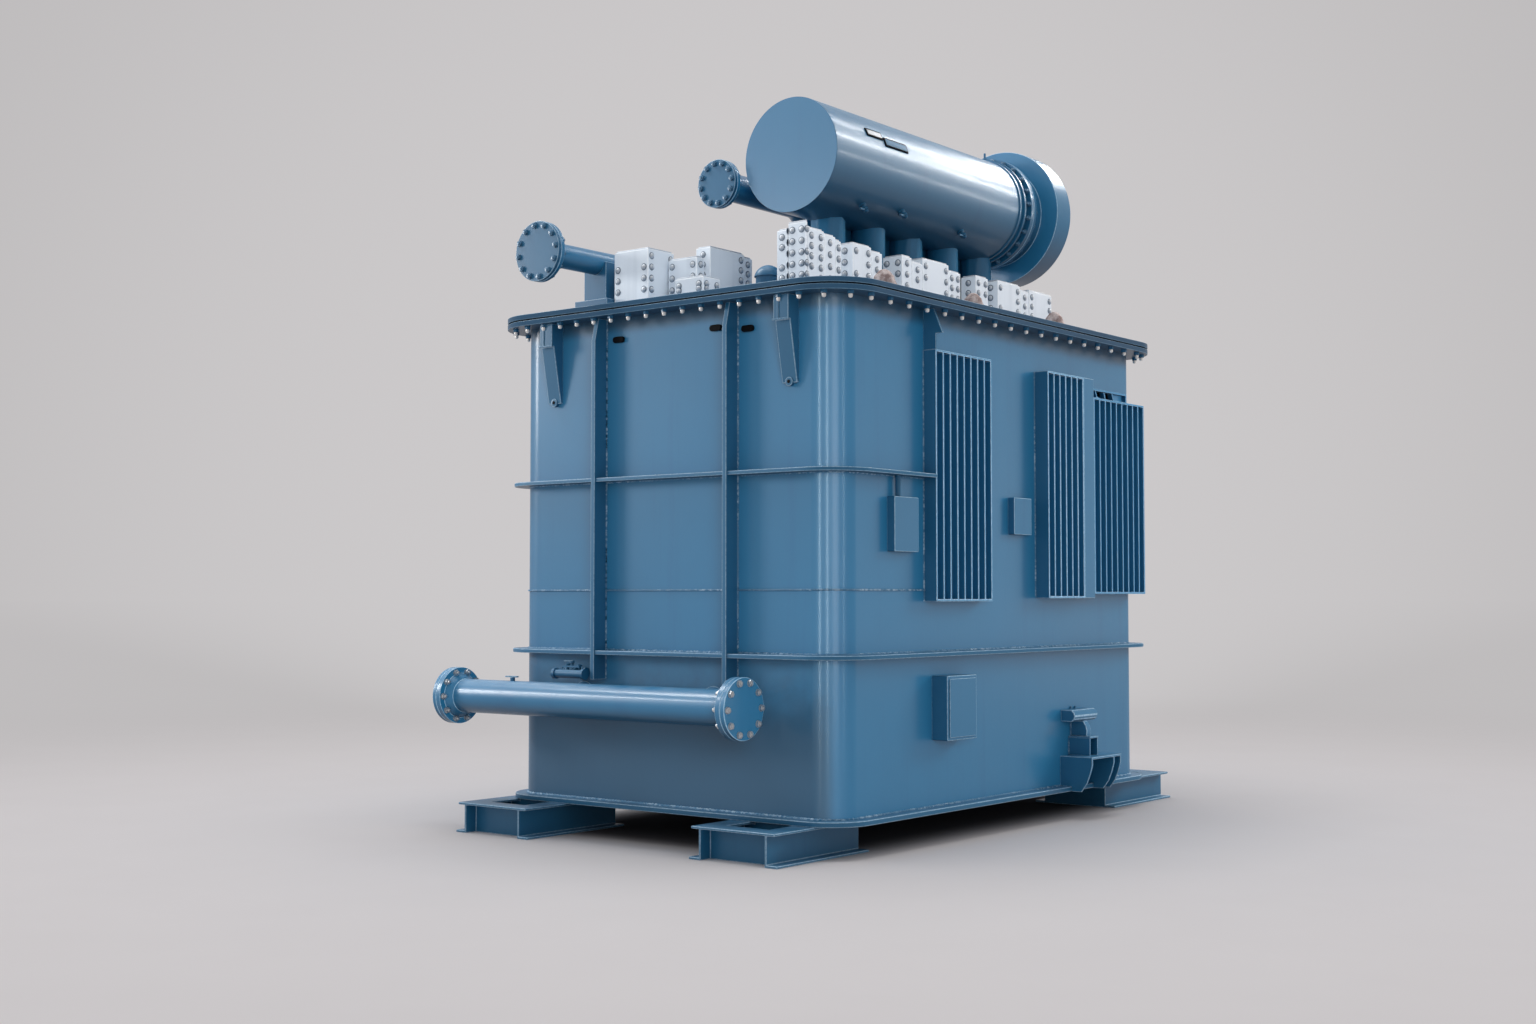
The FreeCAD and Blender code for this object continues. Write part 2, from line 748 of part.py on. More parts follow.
PANEL_HEAD = "dims.front_panel_foot + dims.front_panel_height"
EAR_OUTLINE = [
    ("0", PANEL_HEAD),
    ("dims.front_panel_depth", PANEL_HEAD),
    ("dims.front_panel_depth", "dims.rim_height - dims.ear_height"),
    ("dims.front_panel_depth + dims.ear_reach", "dims.rim_height - dims.ear_height"),
    ("dims.front_panel_depth - dims.panel_fin", "dims.rim_height"),
    ("0", "dims.rim_height"),
]
ears = []
for side in ("right", "left"):
    ear = profile("ear_" + side, EAR_OUTLINE, "dims.ear_plate")
    if side == "right":
        ears.append(place(ear, SIDE_WALL, "dims.front_panel_start + dims.ear_plate", "0", RIGHT_RIB))
    else:
        ears.append(place(ear, "-" + SIDE_WALL, "dims.front_panel_start", "0", LEFT_RIB))
keep(grouped("side_ears", ears), "side_ears")

# ---------------------------------------------------------------- boxes on the right wall


def wall_box(name, with_lid):
    """A closed box on the right wall, and its lid as a second piece where it has one."""
    half_wide, half_high = "dims.%s_width / 2" % name, "dims.%s_height / 2" % name
    middle = "dims.%s_foot + dims.%s_height / 2" % (name, name)
    depth = "dims.%s_depth" % name
    shell = plate(name, half_wide, half_high, "dims.box_corner", depth)
    keep(place(shell, SIDE_WALL, "dims.%s_place" % name, middle, ONTO_SIDE), name)
    if with_lid:
        inset = " - dims.lid_margin"
        lid = plate(name + "_lid", half_wide + inset, half_high + inset, "dims.box_corner", "dims.lid_thickness")
        keep(place(lid, SIDE_WALL + " + " + depth, "dims.%s_place" % name, middle, ONTO_SIDE), name + "_lid")


wall_box("upper_box", False)
wall_box("middle_box", False)
wall_box("lower_box", True)

CONDUIT_FOOT = "dims.upper_box_foot + dims.upper_box_height"
conduit = cylinder(
    "conduit",
    "dims.conduit_radius",
    "dims.middle_band_height - (%s)" % CONDUIT_FOOT,
    SIDE_WALL + " + dims.upper_box_depth / 2",
    "dims.upper_box_place - dims.conduit_offset",
    CONDUIT_FOOT,
)
keep(conduit, "conduit")

# ---------------------------------------------------------------- jacking brackets
# The gussets hook over the edge of the base plate and reach down to its underside.
GUSSET_OUTLINE = [
    ("0", BASE_TOP),
    ("dims.base_overhang", BASE_TOP),
    ("dims.base_overhang", "dims.skid_height"),
    ("dims.jack_toe", "dims.skid_height"),
    ("(dims.jack_toe + dims.jack_shelf_depth) / 2", "dims.skid_height + dims.jack_belly_rise"),
    ("dims.jack_shelf_depth - dims.jack_nose", "dims.skid_height + dims.jack_shoulder_rise"),
    ("dims.jack_shelf_depth", "dims.skid_height + dims.jack_nose_rise"),
    ("dims.jack_shelf_depth", "dims.jack_shelf_height"),
    ("0", "dims.jack_shelf_height"),
]


def jacking_bracket(side):
    """Gussets and shelf with a block, a neck and a cross bar above, welded as one piece."""
    name = "jack_" + side
    spread = "dims.jack_width - dims.jack_plate"
    pieces = []
    for number, along in enumerate(("0", "dims.jack_inner_gusset", spread)):
        gusset = profile("%s_gusset_%d" % (name, number), GUSSET_OUTLINE, "dims.jack_plate")
        pieces.append(place(gusset, "0", along + " + dims.jack_plate", "0", RIGHT_RIB))
    shelf_top = "dims.jack_shelf_height + dims.jack_plate"
    block_top = shelf_top + " + dims.jack_block_height"
    neck_top = block_top + " + dims.jack_neck_height"
    shelf_sizes = ("dims.jack_shelf_depth", "dims.jack_width", "dims.jack_plate")
    pieces.append(box(name + "_shelf", *shelf_sizes, z="dims.jack_shelf_height"))
    pieces.append(
        box(
            name + "_block",
            "dims.jack_block_depth",
            "dims.jack_block_width",
            "dims.jack_block_height",
            y="dims.jack_block_place",
            z=shelf_top,
        )
    )
    pieces.append(
        box(
            name + "_neck",
            "dims.jack_neck_depth",
            "dims.jack_neck_width",
            "dims.jack_neck_height",
            y="dims.jack_block_place + (dims.jack_block_width - dims.jack_neck_width) / 2",
            z=block_top,
        )
    )
    pieces.append(
        box(name + "_bar", "dims.jack_bar_depth", "dims.jack_bar_length", "dims.jack_bar_height", z=neck_top)
    )
    whole = fused(name, pieces)
    if side == "right":
        place(whole, SIDE_WALL, "dims.jack_start")
        return keep(whole, "jacking_bracket_right")
    mirrored = doc.addObject("Part::Mirroring", name + "_mirrored")
    mirrored.Source = whole
    mirrored.Normal = FreeCAD.Vector(1, 0, 0)
    place(mirrored, "-" + SIDE_WALL, "dims.jack_start")
    return keep(mirrored, "jacking_bracket_left")


jacking_bracket("right")
jacking_bracket("left")

# ---------------------------------------------------------------- skids


def skid(label, middle, end, rear):
    """Two outward channels, a top plate with a window and cross plates, welded as one piece."""
    half = "dims.skid_web_spacing / 2"
    deck = "dims.skid_height - dims.skid_flange_thickness"
    long = "dims.skid_length"
    top = box(
        label + "_top",
        "dims.skid_web_spacing + 2 * dims.skid_lip",
        long,
        "dims.skid_flange_thickness",
        x="-%s - dims.skid_lip" % half,
        z=deck,
    )
    pieces = [top]
    for side, web_x, foot_x in (
        ("left", "-" + half, "-%s - dims.skid_flange" % half),
        ("right", half + " - dims.skid_web", half),
    ):
        pieces.append(box("%s_web_%s" % (label, side), "dims.skid_web", long, deck, x=web_x))
        foot = box("%s_foot_%s" % (label, side), "dims.skid_flange", long, "dims.skid_flange_thickness", x=foot_x)
        pieces.append(foot)
    behind_window = "dims.skid_window_edge + dims.skid_window_length"
    for number, y in enumerate(("dims.skid_recess", behind_window, long + " - dims.skid_web")):
        cross = box(
            "%s_cross_%d" % (label, number),
            "dims.skid_web_spacing - dims.skid_web",
            "dims.skid_web",
            deck,
            x="-%s + dims.skid_web / 2" % half,
            y=y,
        )
        pieces.append(cross)
    window = box(
        label + "_window",
        "dims.skid_window_width",
        "dims.skid_window_length",
        "2 * dims.skid_height",
        x="-dims.skid_window_width / 2",
        y="dims.skid_window_edge",
    )
    whole = less(label, fused(label + "_frame", pieces), window)
    place(whole, middle, end, "0", HALF_TURN if rear else UPRIGHT)
    return keep(whole, label)


FRONT_TIP, REAR_TIP = FRONT_WALL + " - dims.skid_front_reach", TANK_Y + " + dims.skid_rear_reach"
skid("skid_front_right", "dims.skid_right", FRONT_TIP, False)
skid("skid_front_left", "-dims.skid_left", FRONT_TIP, False)
skid("skid_rear_right", "dims.skid_rear_place", REAR_TIP, True)
skid("skid_rear_left", "-dims.skid_rear_place", REAR_TIP, True)

# ---------------------------------------------------------------- drain header
HEADER_LENGTH = "dims.header_left + dims.header_right"
HEADER_FLANGE = "dims.header_radius + dims.header_flange_reach"


def header_run(name, radius, branch, extra):
    """The header's straight run with two branches back to the tank wall."""
    run = cylinder(
        name + "_run",
        radius,
        "%s + 2 * (%s)" % (HEADER_LENGTH, extra),
        "-dims.header_left - (%s)" % extra,
        HEADER_LINE,
        "dims.header_height",
        ONTO_SIDE,
    )
    pieces = [run]
    for side, x in (("left", "-dims.post_left"), ("right", "dims.post_right")):
        pieces.append(
            cylinder(
                "%s_branch_%s" % (name, side),
                branch,
                "dims.header_standoff",
                x + " - dims.branch_from_post",
                HEADER_LINE,
                "dims.header_height",
                ALONG_Y,
            )
        )
    return fused(name, pieces)


outer_run = header_run("header_outer", "dims.header_radius", "dims.branch_radius", "0")
inner_run = header_run(
    "header_inner",
    "dims.header_radius - dims.header_wall",
    "dims.branch_radius - dims.header_wall",
    "dims.header_flange_thickness",
)
collars = []
for side, face, outward in (
    ("left", "-dims.header_left", True),
    ("right", "dims.header_right", False),
):
    collar = flange(
        "header_collar_" + side,
        HEADER_FLANGE,
        "dims.header_radius - dims.header_wall",
        "dims.header_flange_thickness",
        HEADER_FLANGE + " - dims.header_bolt_inset",
        "dims.header_bolt_radius",
        HEADER_HOLES,
    )
    blind = flange(
        "header_blind_" + side,
        HEADER_FLANGE,
        None,
        "dims.header_flange_thickness",
        HEADER_FLANGE + " - dims.header_bolt_inset",
        "dims.header_bolt_radius",
        HEADER_HOLES,
    )
    turn = ONTO_LEFT if side == "left" else ONTO_SIDE
    sign = "-" if side == "left" else "+"
    place(collar, face, HEADER_LINE, "dims.header_height", turn)
    place(blind, "%s %s dims.header_flange_thickness" % (face, sign), HEADER_LINE, "dims.header_height", turn)
    collars.append(collar)
    keep(blind, "header_blind_" + side)
header = less("header_pipe", fused("header_solid", [outer_run] + collars), inner_run)
keep(header, "header_pipe")

# Small drain valve on the wall above the header.
valve_x = "-dims.post_left - dims.valve_from_post"
valve_y = FRONT_WALL + " - dims.valve_standoff"
valve_z = "dims.header_height + dims.header_radius + dims.valve_rise"
cap_sizes = ("dims.valve_cap_radius", "dims.valve_cap_length")
body_start, body_end = valve_x + " - dims.valve_body_length / 2", valve_x + " + dims.valve_body_length / 2"
valve = fused(
    "valve_solid",
    [
        cylinder("valve_stub", "dims.valve_stub_radius", "dims.valve_standoff", valve_x, valve_y, valve_z, ALONG_Y),
        cylinder(
            "valve_body", "dims.valve_body_radius", "dims.valve_body_length", body_start, valve_y, valve_z, ONTO_SIDE
        ),
        cylinder("valve_cap_left", *cap_sizes, body_start + " - dims.valve_cap_length", valve_y, valve_z, ONTO_SIDE),
        cylinder("valve_cap_right", *cap_sizes, body_end, valve_y, valve_z, ONTO_SIDE),
        cylinder(
            "valve_stem",
            "dims.valve_stem_radius",
            "dims.valve_stem_height",
            valve_x + " - dims.valve_stem_offset",
            valve_y,
            valve_z,
        ),
        box(
            "valve_lever",
            "dims.valve_lever_length",
            "dims.valve_lever_width",
            "dims.valve_lever_thickness",
            valve_x + " - 2 * dims.valve_stem_offset",
            valve_y + " - dims.valve_lever_width / 2",
            valve_z + " + dims.valve_stem_height - dims.valve_lever_thickness",
        ),
    ],
)
keep(valve, "drain_valve")

# ---------------------------------------------------------------- conservator
DRUM_RING = "dims.drum_radius + dims.drum_flange_reach"


def along_drum(name, radius, start, length):
    return cylinder(name, radius, length, DRUM_X, start, DRUM_Z, ALONG_Y)


def bolted_ring(name, start, bore):
    ring = flange(
        name,
        DRUM_RING,
        bore,
        "dims.drum_flange_thickness",
        DRUM_RING + " - dims.drum_bolt_inset",
        "dims.drum_bolt_radius",
        DRUM_HOLES,
    )
    return place(ring, DRUM_X, start, DRUM_Z, ALONG_Y)


END_PLATE = "dims.drum_wall"
shell_start = "dims.drum_front + " + END_PLATE
shell_pieces = [
    along_drum("drum_outer", "dims.drum_radius", shell_start, "dims.drum_back - (%s)" % shell_start),
    along_drum(
        "drum_collar_one",
        "dims.drum_radius + dims.drum_collar_proud",
        "dims.drum_back - dims.drum_collar_setback",
        "dims.drum_collar_width",
    ),
    along_drum(
        "drum_collar_two",
        "dims.drum_radius + 2 * dims.drum_collar_proud",
        "dims.drum_back - dims.drum_collar_setback + dims.drum_collar_pitch",
        "dims.drum_collar_width",
    ),
]
DRUM_BORE = "dims.drum_radius - dims.drum_wall"
shell_ring = bolted_ring("drum_ring", "dims.drum_back", DRUM_BORE)
shell = less(
    "drum_shell",
    fused("drum_shell_solid", shell_pieces),
    along_drum("drum_inner", DRUM_BORE, shell_start, "dims.drum_back - (%s)" % shell_start),
)
keep(fused("conservator_shell", [shell, shell_ring]), "conservator_shell")
keep(along_drum("drum_end", "dims.drum_radius", "dims.drum_front", END_PLATE), "conservator_front_end")

NECK_START = "dims.drum_back + dims.drum_flange_thickness + dims.drum_gasket"
drum_gasket = less(
    "drum_gasket_ring",
    along_drum(
        "drum_gasket_disc",
        DRUM_RING + " - dims.drum_gasket_recess",
        "dims.drum_back + dims.drum_flange_thickness",
        "dims.drum_gasket",
    ),
    along_drum(
        "drum_gasket_bore",
        DRUM_RING + " - dims.drum_bolt_inset - dims.drum_bolt_radius - dims.drum_gasket_recess",
        "dims.drum_back + dims.drum_flange_thickness",
        "dims.drum_gasket",
    ),
)
keep(drum_gasket, "drum_gasket")
NECK_RADIUS = "dims.drum_radius - dims.neck_step"
NECK_BORE = NECK_RADIUS + " - dims.drum_wall"
neck_ring = bolted_ring("neck_ring", NECK_START, NECK_BORE)
neck_tube_start = NECK_START + " + dims.drum_flange_thickness"
neck_length = "dims.pot_front - (%s)" % neck_tube_start
neck_tube = less(
    "neck_tube",
    along_drum("neck_outer", NECK_RADIUS, neck_tube_start, neck_length),
    along_drum("neck_inner", NECK_BORE, neck_tube_start, neck_length),
)
keep(fused("conservator_neck", [neck_ring, neck_tube]), "conservator_neck")

pot = less(
    "pot_shell",
    along_drum("pot_outer", "dims.pot_radius", "dims.pot_front", "dims.pot_length - dims.drum_wall"),
    along_drum(
        "pot_inner",
        "dims.pot_radius - dims.drum_wall",
        "dims.pot_front + dims.drum_wall",
        "dims.pot_length - 2 * dims.drum_wall",
    ),
)
keep(pot, "conservator_rear_pot")
pot_end_start = "dims.pot_front + dims.pot_length - dims.drum_wall"
keep(along_drum("pot_end", "dims.pot_radius", pot_end_start, "dims.drum_wall"), "conservator_rear_end")

# Five columns carry the drum; their tops are cut to its round underside.
column_parts = []
for number in range(5):
    y = "dims.pedestal_first + %d * dims.pedestal_pitch" % number
    pad_box = box(
        "column_pad_%d" % number,
        "dims.pedestal_pad_width",
        "dims.pedestal_pad_length",
        "dims.pedestal_pad_thickness",
        DRUM_X + " - dims.pedestal_pad_width / 2",
        y + " - dims.pedestal_pad_length / 2",
        COVER_TOP,
    )
    if number % 2 == 0:
        column = doc.addObject("Part::Prism", "column_%d" % number)
        column.Polygon = 8
        column.setExpression("Circumradius", "dims.pedestal_radius")
        column.setExpression("Height", "dims.drum_rise")
        place(column, DRUM_X, y, COVER_TOP)
    else:
        column = cylinder(
            "column_%d" % number,
            "dims.pedestal_radius",
            "dims.drum_rise",
            DRUM_X,
            y,
            COVER_TOP,
        )
    column_parts.append(fused("column_with_pad_%d" % number, [column, pad_box]))
seat = fused(
    "column_seat",
    [along_drum("seat_drum", "dims.drum_radius", "dims.drum_front", "dims.drum_back - dims.drum_front")]
    + shell_pieces[1:],
)
columns = [less("pedestal_%d" % n, part, seat) for n, part in enumerate(column_parts)]
keep(grouped("conservator_pedestals", columns), "conservator_pedestals")

# ---------------------------------------------------------------- pipes on the cover


def bent_pipe(name, key, radius, start):
    """A level run from the front, a quarter bend and a drop to the cover, all solid."""
    place_x, level = "dims.%s_place" % key, "%s + dims.%s_rise" % (COVER_TOP, key)
    bend, bend_radius = "dims.%s_bend" % key, "dims.%s_bend_radius" % key
    run = cylinder(name + "_run", radius, "%s - (%s)" % (bend, start), place_x, start, level, ALONG_Y)
    elbow = doc.addObject("Part::Torus", name + "_elbow")
    elbow.setExpression("Radius1", bend_radius)
    elbow.setExpression("Radius2", radius)
    elbow.Angle3 = 90
    place(elbow, place_x, bend, "%s - %s" % (level, bend_radius), ONTO_SIDE)
    drop = cylinder(
        name + "_drop",
        radius,
        "dims.%s_rise - %s" % (key, bend_radius),
        place_x,
        "%s + %s" % (bend, bend_radius),
        COVER_TOP,
    )
    return fused(name, [run, elbow, drop])


for key, start in (("vent", "dims.vent_front"), ("oil", FRONT_WALL + " - dims.oil_reach")):
    radius = "dims.%s_radius" % key
    bore = radius + " - dims.pipe_wall"
    solid, hollow = bent_pipe(key + "_outer", key, radius, start), bent_pipe(key + "_inner", key, bore, start)
    tube = less(key + "_tube", solid, hollow)
    outer = "%s + dims.%s_flange_reach" % (radius, key)
    sizes = ("dims.pipe_flange_thickness", outer + " - dims.pipe_bolt_inset", "dims.pipe_bolt_radius", PIPE_HOLES)
    level = "%s + dims.%s_rise" % (COVER_TOP, key)
    ring = flange(key + "_ring", outer, bore, *sizes)
    place(ring, "dims.%s_place" % key, start + " - dims.pipe_flange_thickness", level, ALONG_Y)
    keep(fused(key + "_pipe", [tube, ring]), key + "_pipe")
    blind = flange(key + "_blind", outer, None, *sizes)
    place(blind, "dims.%s_place" % key, start + " - 2 * dims.pipe_flange_thickness", level, ALONG_Y)
    keep(blind, key + "_pipe_blind")

# The saddle under the oil pipe stands in line with the front wall.
saddle = fused(
    "saddle_solid",
    [
        box(
            "saddle_foot",
            "dims.saddle_width",
            "dims.saddle_length",
            "dims.saddle_foot_height",
            "dims.oil_place - dims.saddle_width / 2",
            FRONT_WALL,
            COVER_TOP,
        ),
        box(
            "saddle_neck",
            "dims.saddle_neck_width",
            "dims.saddle_neck_length",
            "dims.oil_rise",
            "dims.oil_place - dims.saddle_neck_width / 2",
            FRONT_WALL + " + dims.saddle_neck_setback",
            COVER_TOP,
        ),
    ],
)
saddle_bore = cylinder(
    "saddle_bore",
    "dims.oil_radius",
    "dims.saddle_length",
    "dims.oil_place",
    FRONT_WALL,
    COVER_TOP + " + dims.oil_rise",
    ALONG_Y,
)
keep(less("oil_pipe_saddle", saddle, saddle_bore), "oil_pipe_saddle")

# The gland's cap is the top of a ball wider than its barrel.
gland = doc.addObject("Part::Feature", "gland_solid")
gland_radius, gland_height = amount_of("dims.gland_radius"), amount_of("dims.gland_height")
cap_radius = gland_radius + amount_of("dims.gland_cap_reach")
cap_foot = gland_height - amount_of("dims.gland_cap_foot")
barrel = Part.makeCylinder(gland_radius, gland_height)
ball = Part.makeSphere(cap_radius)
ball.translate(FreeCAD.Vector(0, 0, gland_height - amount_of("dims.gland_cap_sink")))
slab = Part.makeBox(2 * cap_radius, 2 * cap_radius, cap_radius)
slab.translate(FreeCAD.Vector(-cap_radius, -cap_radius, cap_foot))
collar_radius = gland_radius + amount_of("dims.gland_collar_reach")
collar = Part.makeCylinder(collar_radius, amount_of("dims.gland_collar_height"))
gland.Shape = barrel.fuse([ball.common(slab), collar]).removeSplitter()
place(gland, "dims.gland_place", FRONT_WALL + " + dims.gland_setback", COVER_TOP)
keep(gland, "cable_gland")

# ---------------------------------------------------------------- terminal blocks


def block(name):
    corner = {edge: "dims.%s_%s" % (name, edge) for edge in BLOCK_EDGES}
    return box(
        name,
        "%(right)s - (%(left)s)" % corner,
        "%(back)s - (%(front)s)" % corner,
        corner["height"],
        corner["left"],
        FRONT_WALL + " + " + corner["front"],
        COVER_TOP,
    )


keep(grouped("front_blocks", [block(entry[0]) for entry in FRONT_BLOCKS]), "terminal_blocks_front")
keep(grouped("side_blocks", [block(entry[0]) for entry in SIDE_BLOCKS]), "terminal_blocks_side")

# ---------------------------------------------------------------- recompute, check, write
doc.recompute()
faults = [piece.Name for piece in doc.Objects if {"Invalid", "Error"} & set(piece.State)]
for piece in subparts:
    if piece.Shape.isNull() or not piece.Shape.isValid() or not piece.Shape.Solids:
        faults.append(piece.Label + " has no valid solid")
if faults:
    raise RuntimeError("; ".join(faults))

os.makedirs("parts", exist_ok=True)
for piece in subparts:
    piece.Shape.exportStep("parts/%s.step" % piece.Label)
    solids = piece.Shape.Solids
    print("%-28s %2d solids %12.0f mm3" % (piece.Label, len(solids), sum(s.Volume for s in solids)))
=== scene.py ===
import math
import random

import bmesh
import bpy
from mathutils import Matrix, Vector


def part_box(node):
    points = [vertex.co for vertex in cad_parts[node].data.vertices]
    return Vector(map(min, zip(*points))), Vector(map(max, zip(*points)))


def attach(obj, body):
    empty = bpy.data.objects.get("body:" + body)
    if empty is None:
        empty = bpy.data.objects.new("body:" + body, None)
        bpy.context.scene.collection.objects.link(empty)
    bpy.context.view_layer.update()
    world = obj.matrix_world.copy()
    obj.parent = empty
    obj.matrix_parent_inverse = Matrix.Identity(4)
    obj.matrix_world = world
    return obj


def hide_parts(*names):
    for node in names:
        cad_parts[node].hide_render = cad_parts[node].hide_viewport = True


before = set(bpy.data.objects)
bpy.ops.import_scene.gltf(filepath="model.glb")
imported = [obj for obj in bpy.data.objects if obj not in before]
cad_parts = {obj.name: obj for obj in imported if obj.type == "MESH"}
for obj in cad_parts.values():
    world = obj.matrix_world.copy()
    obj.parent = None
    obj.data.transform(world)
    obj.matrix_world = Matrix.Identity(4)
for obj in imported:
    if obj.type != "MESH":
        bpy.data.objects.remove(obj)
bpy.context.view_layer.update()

# ------------------------------------------------------------------ skids
# Four skid frames carry the tank clear of the ground.  Each is two steel webs
# with turned-out feet, welded under a plate with a window, and sprayed blue.


class Paint:
    """A value on its way through the nodes of a finish."""

    def __init__(self, tree, socket=None):
        self.tree, self.socket = tree, socket

    def node(self, kind, sockets=None, output=0, **settings):
        """Adds a node, with values or other nodes on its sockets."""
        made = self.tree.nodes.new("ShaderNode" + kind)
        for name, value in settings.items():
            setattr(made, name, value)
        for name, value in (sockets or {}).items():
            if isinstance(value, Paint):
                self.tree.links.new(value.socket, made.inputs[name])
            else:
                made.inputs[name].default_value = value
        return Paint(self.tree, made.outputs[output] if made.outputs else None)

    def maths(self, operation, first, second):
        return self.node("Math", {0: first, 1: second}, operation=operation)

    def __add__(self, other):
        return self.maths("ADD", self, other)

    __radd__ = __add__

    def __sub__(self, other):
        return self.maths("SUBTRACT", self, other)

    def __rsub__(self, other):
        return self.maths("SUBTRACT", other, self)

    def __mul__(self, other):
        return self.maths("MULTIPLY", self, other)

    __rmul__ = __mul__


def new_finish(name):
    """A bare material, its node builder and the place on the object."""
    material = bpy.data.materials.new(name)
    material.use_nodes = True
    material.node_tree.nodes.clear()
    paint = Paint(material.node_tree)
    return material, paint, paint.node("TexCoord", output="Object")


def finished(material, paint, sockets):
    """Closes a material with one surface shader."""
    paint.node("OutputMaterial", {"Surface": paint.node("BsdfPrincipled", sockets)})
    return material


def grain(paint, at, scale, detail=3.0, roughness=0.55):
    """Cloudy noise in metres."""
    sockets = {"Vector": at, "Scale": scale, "Detail": detail, "Roughness": roughness}
    return paint.node("TexNoise", sockets)


def axis_of(paint, vector, axis):
    """One of the three parts of a place or a direction."""
    return paint.node("SeparateXYZ", {"Vector": vector}, output=axis)


def between(paint, value, low, high):
    """Nought below the first limit, one past the second, smooth between."""
    sockets = {"Value": value, "From Min": low, "From Max": high}
    return paint.node("MapRange", sockets, interpolation_type="SMOOTHSTEP")


def blended(paint, share, first, second):
    """One colour turning into another by a share."""
    sockets = {"Factor": share, 6: first, 7: second}
    return paint.node("Mix", sockets, output=2, data_type="RGBA")


DEEP_BLUE = (0.0075, 0.120, 0.250, 1.0)
FRESH_BLUE = (0.017, 0.155, 0.308, 1.0)
RUN_BLUE = (0.008, 0.095, 0.220, 1.0)
DUST_BLUE = (0.150, 0.270, 0.400, 1.0)
# Pale edge blue: part wear, part painted highlight along the eased edges.
WORN_EDGE_HIGHLIGHT_BLUE = (0.330, 0.520, 0.680, 1.0)
BLUES = (DEEP_BLUE, FRESH_BLUE, RUN_BLUE, DUST_BLUE, WORN_EDGE_HIGHLIGHT_BLUE)
# Deep blue of painted shade: under downturned faces, on the wall foot and under the rim.
PAINTED_SHADE_BLUE = (0.004, 0.030, 0.065, 1.0)
LOW_SHADE_TOP, LOW_SHADE_FULL = 0.95, 0.55
RIM_SHADOW_FOOT, RIM_SHADOW_FULL = 2.455, 2.520


def enamel(name, tones, gloss=0.50, coat=0.22, underside_shade=0.75, wall_shade=0.0):
    """Sprayed enamel: cloudy film, runs, dust above and painted shade below.

    Eased edges take a paler tone, part wear and part painted highlight.  Wall shade adds
    painted shade on the foot of the front and rear walls and painted shadow under the rim."""
    deep, fresh, run, dust, worn_edge_highlight = tones
    material, paint, at = new_finish(name)
    cloud = grain(paint, at, 0.9)
    mottle = grain(paint, at, 7.0, 5.0, 0.6)
    speck = grain(paint, at, 62.0, 4.0, 0.65)
    peel = grain(paint, at, 310.0, 1.0)
    drawn = paint.node("VectorMath", {0: at, 1: (11.0, 11.0, 0.55)}, operation="MULTIPLY")
    runs = between(paint, grain(paint, drawn, 1.0, 4.0, 0.6), 0.50, 0.78)
    outward = paint.node("NewGeometry", output="Normal")
    upward = axis_of(paint, outward, "Z")
    settled = between(paint, upward, 0.5, 1.0) * between(paint, mottle, 0.25, 0.75)
    # Eased edges turn pale: part wear, part painted highlight.
    edge_mask = paint.node("Attribute", output="Fac", attribute_name="worn_edge_highlight")
    worn_and_lit_edge = edge_mask * (0.55 + 0.45 * between(paint, speck, 0.35, 0.62))
    film = blended(paint, 0.65 * cloud + 0.35 * mottle, deep, fresh)
    film = blended(paint, 0.30 * runs, film, run)
    film = blended(paint, 0.40 * settled, film, dust)
    # Painted shade: faces turned downward darken towards the shade blue.
    film = blended(paint, underside_shade * between(paint, upward, -0.05, -0.95), film, PAINTED_SHADE_BLUE)
    film = blended(paint, 0.88 * worn_and_lit_edge, film, worn_edge_highlight)
    if wall_shade:
        # Painted shade: the foot of the front and rear walls darkens towards the ground.
        height = axis_of(paint, at, "Z")
        along = axis_of(paint, outward, "Y")
        low = between(paint, height + 0.30 * (mottle - 0.5), LOW_SHADE_TOP, LOW_SHADE_FULL)
        low = low * between(paint, along * along, 0.4, 0.9)
        film = blended(paint, wall_shade * low, film, PAINTED_SHADE_BLUE)
        # Painted shadow: a ragged strip just under the rim darkens towards it.
        rim_shadow_edge = height + 0.03 * (mottle - 0.5)
        film = blended(paint, 0.8 * between(paint, rim_shadow_edge, RIM_SHADOW_FOOT, RIM_SHADOW_FULL), film, PAINTED_SHADE_BLUE)
    rough = gloss + 0.16 * (cloud - 0.5) + 0.10 * (speck - 0.5) + 0.16 * settled
    height = 0.010 * peel + 0.05 * speck + 0.9 * cloud
    bump = paint.node("Bump", {"Strength": 0.12, "Distance": 0.004, "Height": height})
    sockets = {"Base Color": film, "Roughness": rough, "Normal": bump}
    sockets.update({"Coat Weight": coat, "Coat Roughness": 0.20})
    return finished(material, paint, sockets)


blue_enamel = enamel("blue_enamel_film", BLUES)


CREASE = math.radians(28.0)


def ease(part, width):
    """Rounds the sharp edges of a part and marks them for the pale tone of wear and painted highlight.
    """
    worn_edge_highlight = part.faces.layers.float.get("worn_edge_highlight") or part.faces.layers.float.new("worn_edge_highlight")
    folds = [edge for edge in part.edges if len(edge.link_faces) == 2]
    made = bmesh.ops.bevel(
        part,
        geom=[edge for edge in folds if edge.calc_face_angle() > CREASE],
        offset=width,
        offset_type="OFFSET",
        segments=2,
        profile=0.5,
        affect="EDGES",
        material=-1,
        clamp_overlap=True,
    )
    for face in made["faces"]:
        face[worn_edge_highlight] = 1.0
    return part


def welded_copy(node):
    """A CAD node's mesh with its doubled points joined."""
    part = bmesh.new()
    part.from_mesh(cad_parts[node].data)
    bmesh.ops.remove_doubles(part, verts=part.verts, dist=1e-6)
    return part


def steel_of(node, width=0.003):
    """The welded steel of a CAD node, with its edges eased."""
    part = welded_copy(node)
    flat = math.radians(0.4)
    bmesh.ops.dissolve_limit(part, angle_limit=flat, verts=part.verts, edges=part.edges)
    return ease(part, width)


